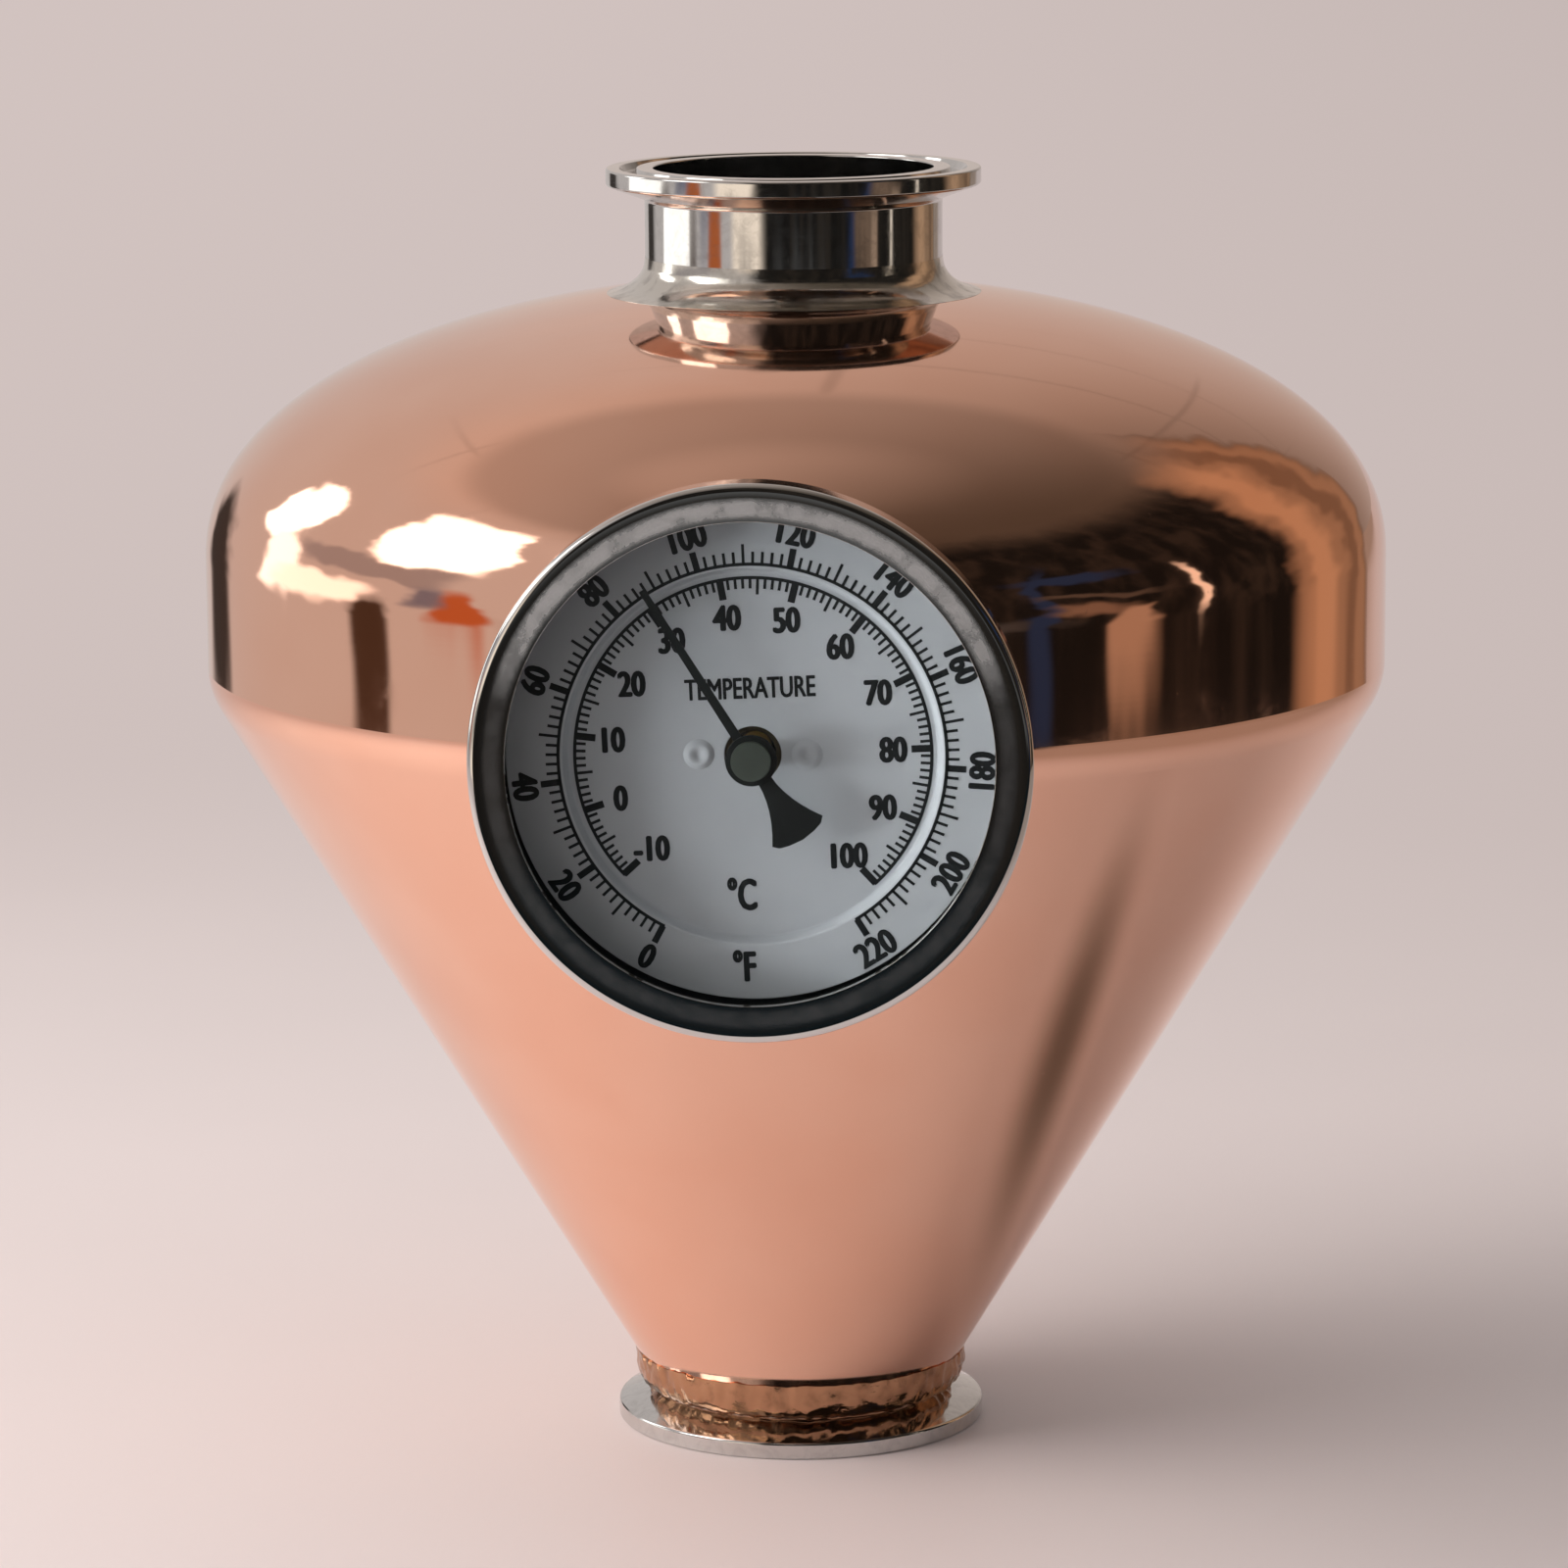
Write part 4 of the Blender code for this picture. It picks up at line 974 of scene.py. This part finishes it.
# %% Table
TABLE_HALF = 12  # metres
table = bmesh.new()
bmesh.ops.create_grid(table, x_segments=1, y_segments=1, size=TABLE_HALF)
mesh = bpy.data.meshes.new("table")
table.to_mesh(mesh)
table.free()
floor = bpy.data.objects.new("table", mesh)
bpy.context.scene.collection.objects.link(floor)
mesh.materials.append(floor_paint)
print("table laid,", 2 * TABLE_HALF, "m across")

# %% [markdown]
# ## Light
# Polished metal looks like what stands round it, so it needs a room. A pale sky lights the table, a
# large soft lamp at the left makes the shadow, and a small low one lifts the dial. The metal doesn't see
# the lamps. It sees an upright curved card round the front, which is painted by angle and height: dark
# shelves ahead, windows at the left, brown at the right. Above the card it sees a ceiling in the sky.

# %% Sky
world = bpy.data.worlds.new("studio")
bpy.context.scene.world = world
sky = Tree(world)
mirrored = sky.node("LightPath", output="Is Glossy Ray")
shown = sky.node("LightPath", output="Is Camera Ray") + sky.node("LightPath", output="Is Transmission Ray")
shown = (shown + mirrored).math("MINIMUM", 1.0)
SKY_LIGHT, FRONT_LIGHT = 0.70, 0.15  # overhead and behind, and low in front
SKY_TINT = (0.97, 0.98, 1.0)
x, y, z = sky.parts(sky.node("TexCoord", output="Generated"))
above = (z * 0.9 - x * 0.35 + y * 0.35).smooth(-0.35, 0.75)
strength = above * (SKY_LIGHT - FRONT_LIGHT) + FRONT_LIGHT
soft = sky.node("Background", None, {"Color": SKY_TINT, "Strength": strength})
print("the sky lights the table")

# %% Ceiling, as the metal sees it
PALE = (0.70, 0.60, 0.55)
DIM = (0.10, 0.08, 0.062)
BEYOND = (0.62, 0.575, 0.56)  # what the eye and the glass see past the table
TILE = 1.7  # tiles across a stretch of ceiling as wide as it is high
aside = (y * 0.5 - x * 0.9).smooth(-0.60, 0.90)
dip = z.within(0.82, 0.92, 0.07) * 0.28
tile = (x / (z + 0.02)) * TILE, (y / (z + 0.02)) * TILE
lines = [((t.math("FRACT") - 0.5).math("ABSOLUTE")).smooth(0.475, 0.495) for t in tile]
joints = (lines[0] + lines[1]).math("MINIMUM", 1.0) * z.within(0.45, 0.74, 0.12) * 0.22
ceiling = sky.blend(aside, DIM, PALE)
ceiling = sky.blend(dip.math("MAXIMUM", joints), ceiling, tuple(0.5 * c for c in DIM))
ceiling = sky.blend(mirrored, BEYOND, ceiling)
pale = sky.node("Background", None, {"Color": ceiling, "Strength": 1.0})
sky.finish(sky.node("MixShader", None, {0: shown, 1: soft, 2: pale}), "World")
print("ceiling ready")

# %% Lamps
KEY_POWER, LOW_POWER = 23.5, 0.6


def add_lamp(name, place, target, size, power, colour, spread=pi):
    """A rectangle that shines on its target and isn't seen in the metal."""
    data = bpy.data.lights.new(name, "AREA")
    data.shape = "RECTANGLE"
    data.size, data.size_y = size
    data.energy = power
    data.color = colour
    data.spread = spread
    lamp = bpy.data.objects.new(name, data)
    bpy.context.scene.collection.objects.link(lamp)
    lamp.location = place
    lamp.rotation_euler = (Vector(target) - Vector(place)).to_track_quat("-Z", "Y").to_euler()
    lamp.visible_glossy = False
    print(name, "lamp:", power, "W")


warm, cool = (1.0, 0.97, 0.95), (0.96, 0.98, 1.0)
add_lamp("key", (-1.15, -0.25, 0.80), (0, 0, 0.08), (1.1, 1.1), KEY_POWER, warm)
add_lamp("bounce", (-0.80, -0.44, 0.07), (0, -0.14, 0.14), (0.30, 0.14), LOW_POWER, cool, radians(50))

# %% Things on the room card
# name: middle and half width in degrees to the right of the dial, middle and half height in metres,
# softness, colour, strength
ROOM = {
    "left wall": (-108, 78, 0.50, 0.95, 0.12, (0.60, 0.55, 0.53), 1.0),
    "brown curtain": (124, 16, 0.40, 0.85, 0.22, (0.32, 0.195, 0.12), 1.0),
    "curtain light": (119, 5, 0.40, 0.85, 0.6, (0.50, 0.30, 0.18), 1.0),
    "curtain fold": (131, 2.5, 0.40, 0.80, 0.6, (0.20, 0.12, 0.075), 1.0),
    "near window": (-73, 16, 0.69, 0.27, 0.10, (1.0, 0.97, 0.94), 3.2),
    "grey sill": (-84, 20, 0.35, 0.07, 0.2, (0.37, 0.34, 0.35), 1.0),
    "far window": (-115, 7, 0.50, 0.17, 0.12, (1.0, 0.98, 0.96), 3.0),
    "far window sill": (-110, 5, 0.22, 0.15, 0.25, (1.0, 0.97, 0.94), 2.2),
    "lit bench": (-97, 13, 0.16, 0.07, 0.3, (1.0, 0.95, 0.90), 1.8),
    "pot stand": (-81, 5, 0.05, 0.10, 0.3, (0.07, 0.04, 0.025), 1.0),
    "copper pot": (-61, 6, 0.15, 0.13, 0.25, (0.50, 0.13, 0.04), 1.0),
    "blue crate": (-69, 4, 0.22, 0.07, 0.4, (0.20, 0.20, 0.26), 1.0),
    "warm panel": (-34, 11, 0.02, 0.30, 0.3, (0.95, 0.80, 0.66), 1.3),
    "dark bag": (-141, 8, 0.10, 0.13, 0.3, (0.05, 0.042, 0.038), 1.0),
    "table end": (0, 40, 0.085, 0.03, 0.5, (0.10, 0.10, 0.10), 1.0),
    "carton": (66, 4, 0.08, 0.07, 0.3, (0.40, 0.27, 0.19), 1.0),
    "blue shelf": (54, 11, 0.42, 0.035, 0.4, (0.020, 0.035, 0.085), 1.0),
    "blue post": (47, 2, 0.20, 0.30, 0.4, (0.020, 0.035, 0.085), 1.0),
    "shelf goods": (56, 8, 0.16, 0.03, 0.5, (0.20, 0.13, 0.09), 1.0),
    "lower goods": (60, 12, 0.26, 0.02, 0.5, (0.09, 0.07, 0.055), 1.0),
    "bright slot": (80, 1.3, 0.24, 0.15, 0.35, (0.95, 0.80, 0.66), 1.1),
}
print(len(ROOM), "things on the room card")

# %% Room card
DARK, DUSK = (0.010, 0.009, 0.008), (0.030, 0.024, 0.019)
CARD_RADIUS, CARD_STEPS = 0.82, 64
SWAY, DRIFT = 16, 130  # degrees and millimetres by which outlines wander, so that none is ruled
FADE_LEFT, FADE_RIGHT = 14, 4  # degrees over which the card's ends fade out
FADE_TOP = 0.45, 0.02  # metres below its top where it starts to fade, and where it is gone


def room_paint(first, last, top):
    """The card's material, which is clear towards its ends and its top."""
    material, tree = new_material("room_card")
    x, y, z = tree.parts(tree.position())
    sway = tree.noise(tree.gather(x, y, z * 1.4), 210, detail=2) - 0.5
    drift = tree.noise(tree.gather(y, z, x), 160, detail=2) - 0.5
    turn = x.math("ARCTAN2", y * -1.0) * degrees(1) + sway * SWAY
    z = z + drift * DRIFT
    patches = tree.noise(tree.gather(x, y, z * 0.4), 70, detail=4).smooth(0.4, 0.7)
    colour = tree.blend(patches, DARK, DUSK)
    for middle, half, height, tall, softness, paint, strength in ROOM.values():
        across = ((turn - middle) / half).math("ABSOLUTE")
        upright = ((z - 1000 * height) / (1000 * tall)).math("ABSOLUTE")
        away = (across.math("POWER", 4.0) + upright.math("POWER", 4.0)).math("POWER", 0.25)
        share = 1 - away.smooth(1 - softness, 1 + softness)
        colour = tree.blend(share, colour, tuple(strength * c for c in paint))
    edge = z.smooth(1000 * (top - FADE_TOP[0]), 1000 * (top - FADE_TOP[1]))
    edge = edge.math("MAXIMUM", 1 - turn.smooth(first, first + FADE_LEFT))
    edge = edge.math("MAXIMUM", turn.smooth(last - FADE_RIGHT, last))
    paper = tree.node("Emission", None, {"Color": colour, "Strength": 1.0})
    clear = tree.node("BsdfTransparent")
    tree.finish(tree.node("MixShader", None, {0: edge, 1: paper, 2: clear}))
    return material


def add_room_card(first, last, top):
    """An upright curved card round the front, from one angle to another, seen in the metal only."""
    work = bmesh.new()
    start = Matrix.Rotation(radians(first), 4, "Z") @ Vector((0, -CARD_RADIUS, 0))
    rim = work.edges.new([work.verts.new((start.x, start.y, z)) for z in (0.0, top)])
    sweep = radians(last - first)
    bmesh.ops.spin(work, geom=[rim], axis=(0, 0, 1), cent=(0, 0, 0), steps=CARD_STEPS, angle=sweep)
    mesh = bpy.data.meshes.new("room_card")
    work.to_mesh(mesh)
    work.free()
    mesh.materials.append(room_paint(first, last, top))
    card = bpy.data.objects.new("room_card", mesh)
    bpy.context.scene.collection.objects.link(card)
    card.visible_camera = card.visible_diffuse = card.visible_shadow = card.visible_transmission = False
    print("the card stands", CARD_RADIUS, "m from the axis")


add_room_card(-176, 142, 1.25)

# %% [markdown]
# ## View
# The fine pieces stay inside the box of the imported model. The view uses the Standard transform.

# %% Finish
bpy.context.scene.view_settings.view_transform = "Standard"
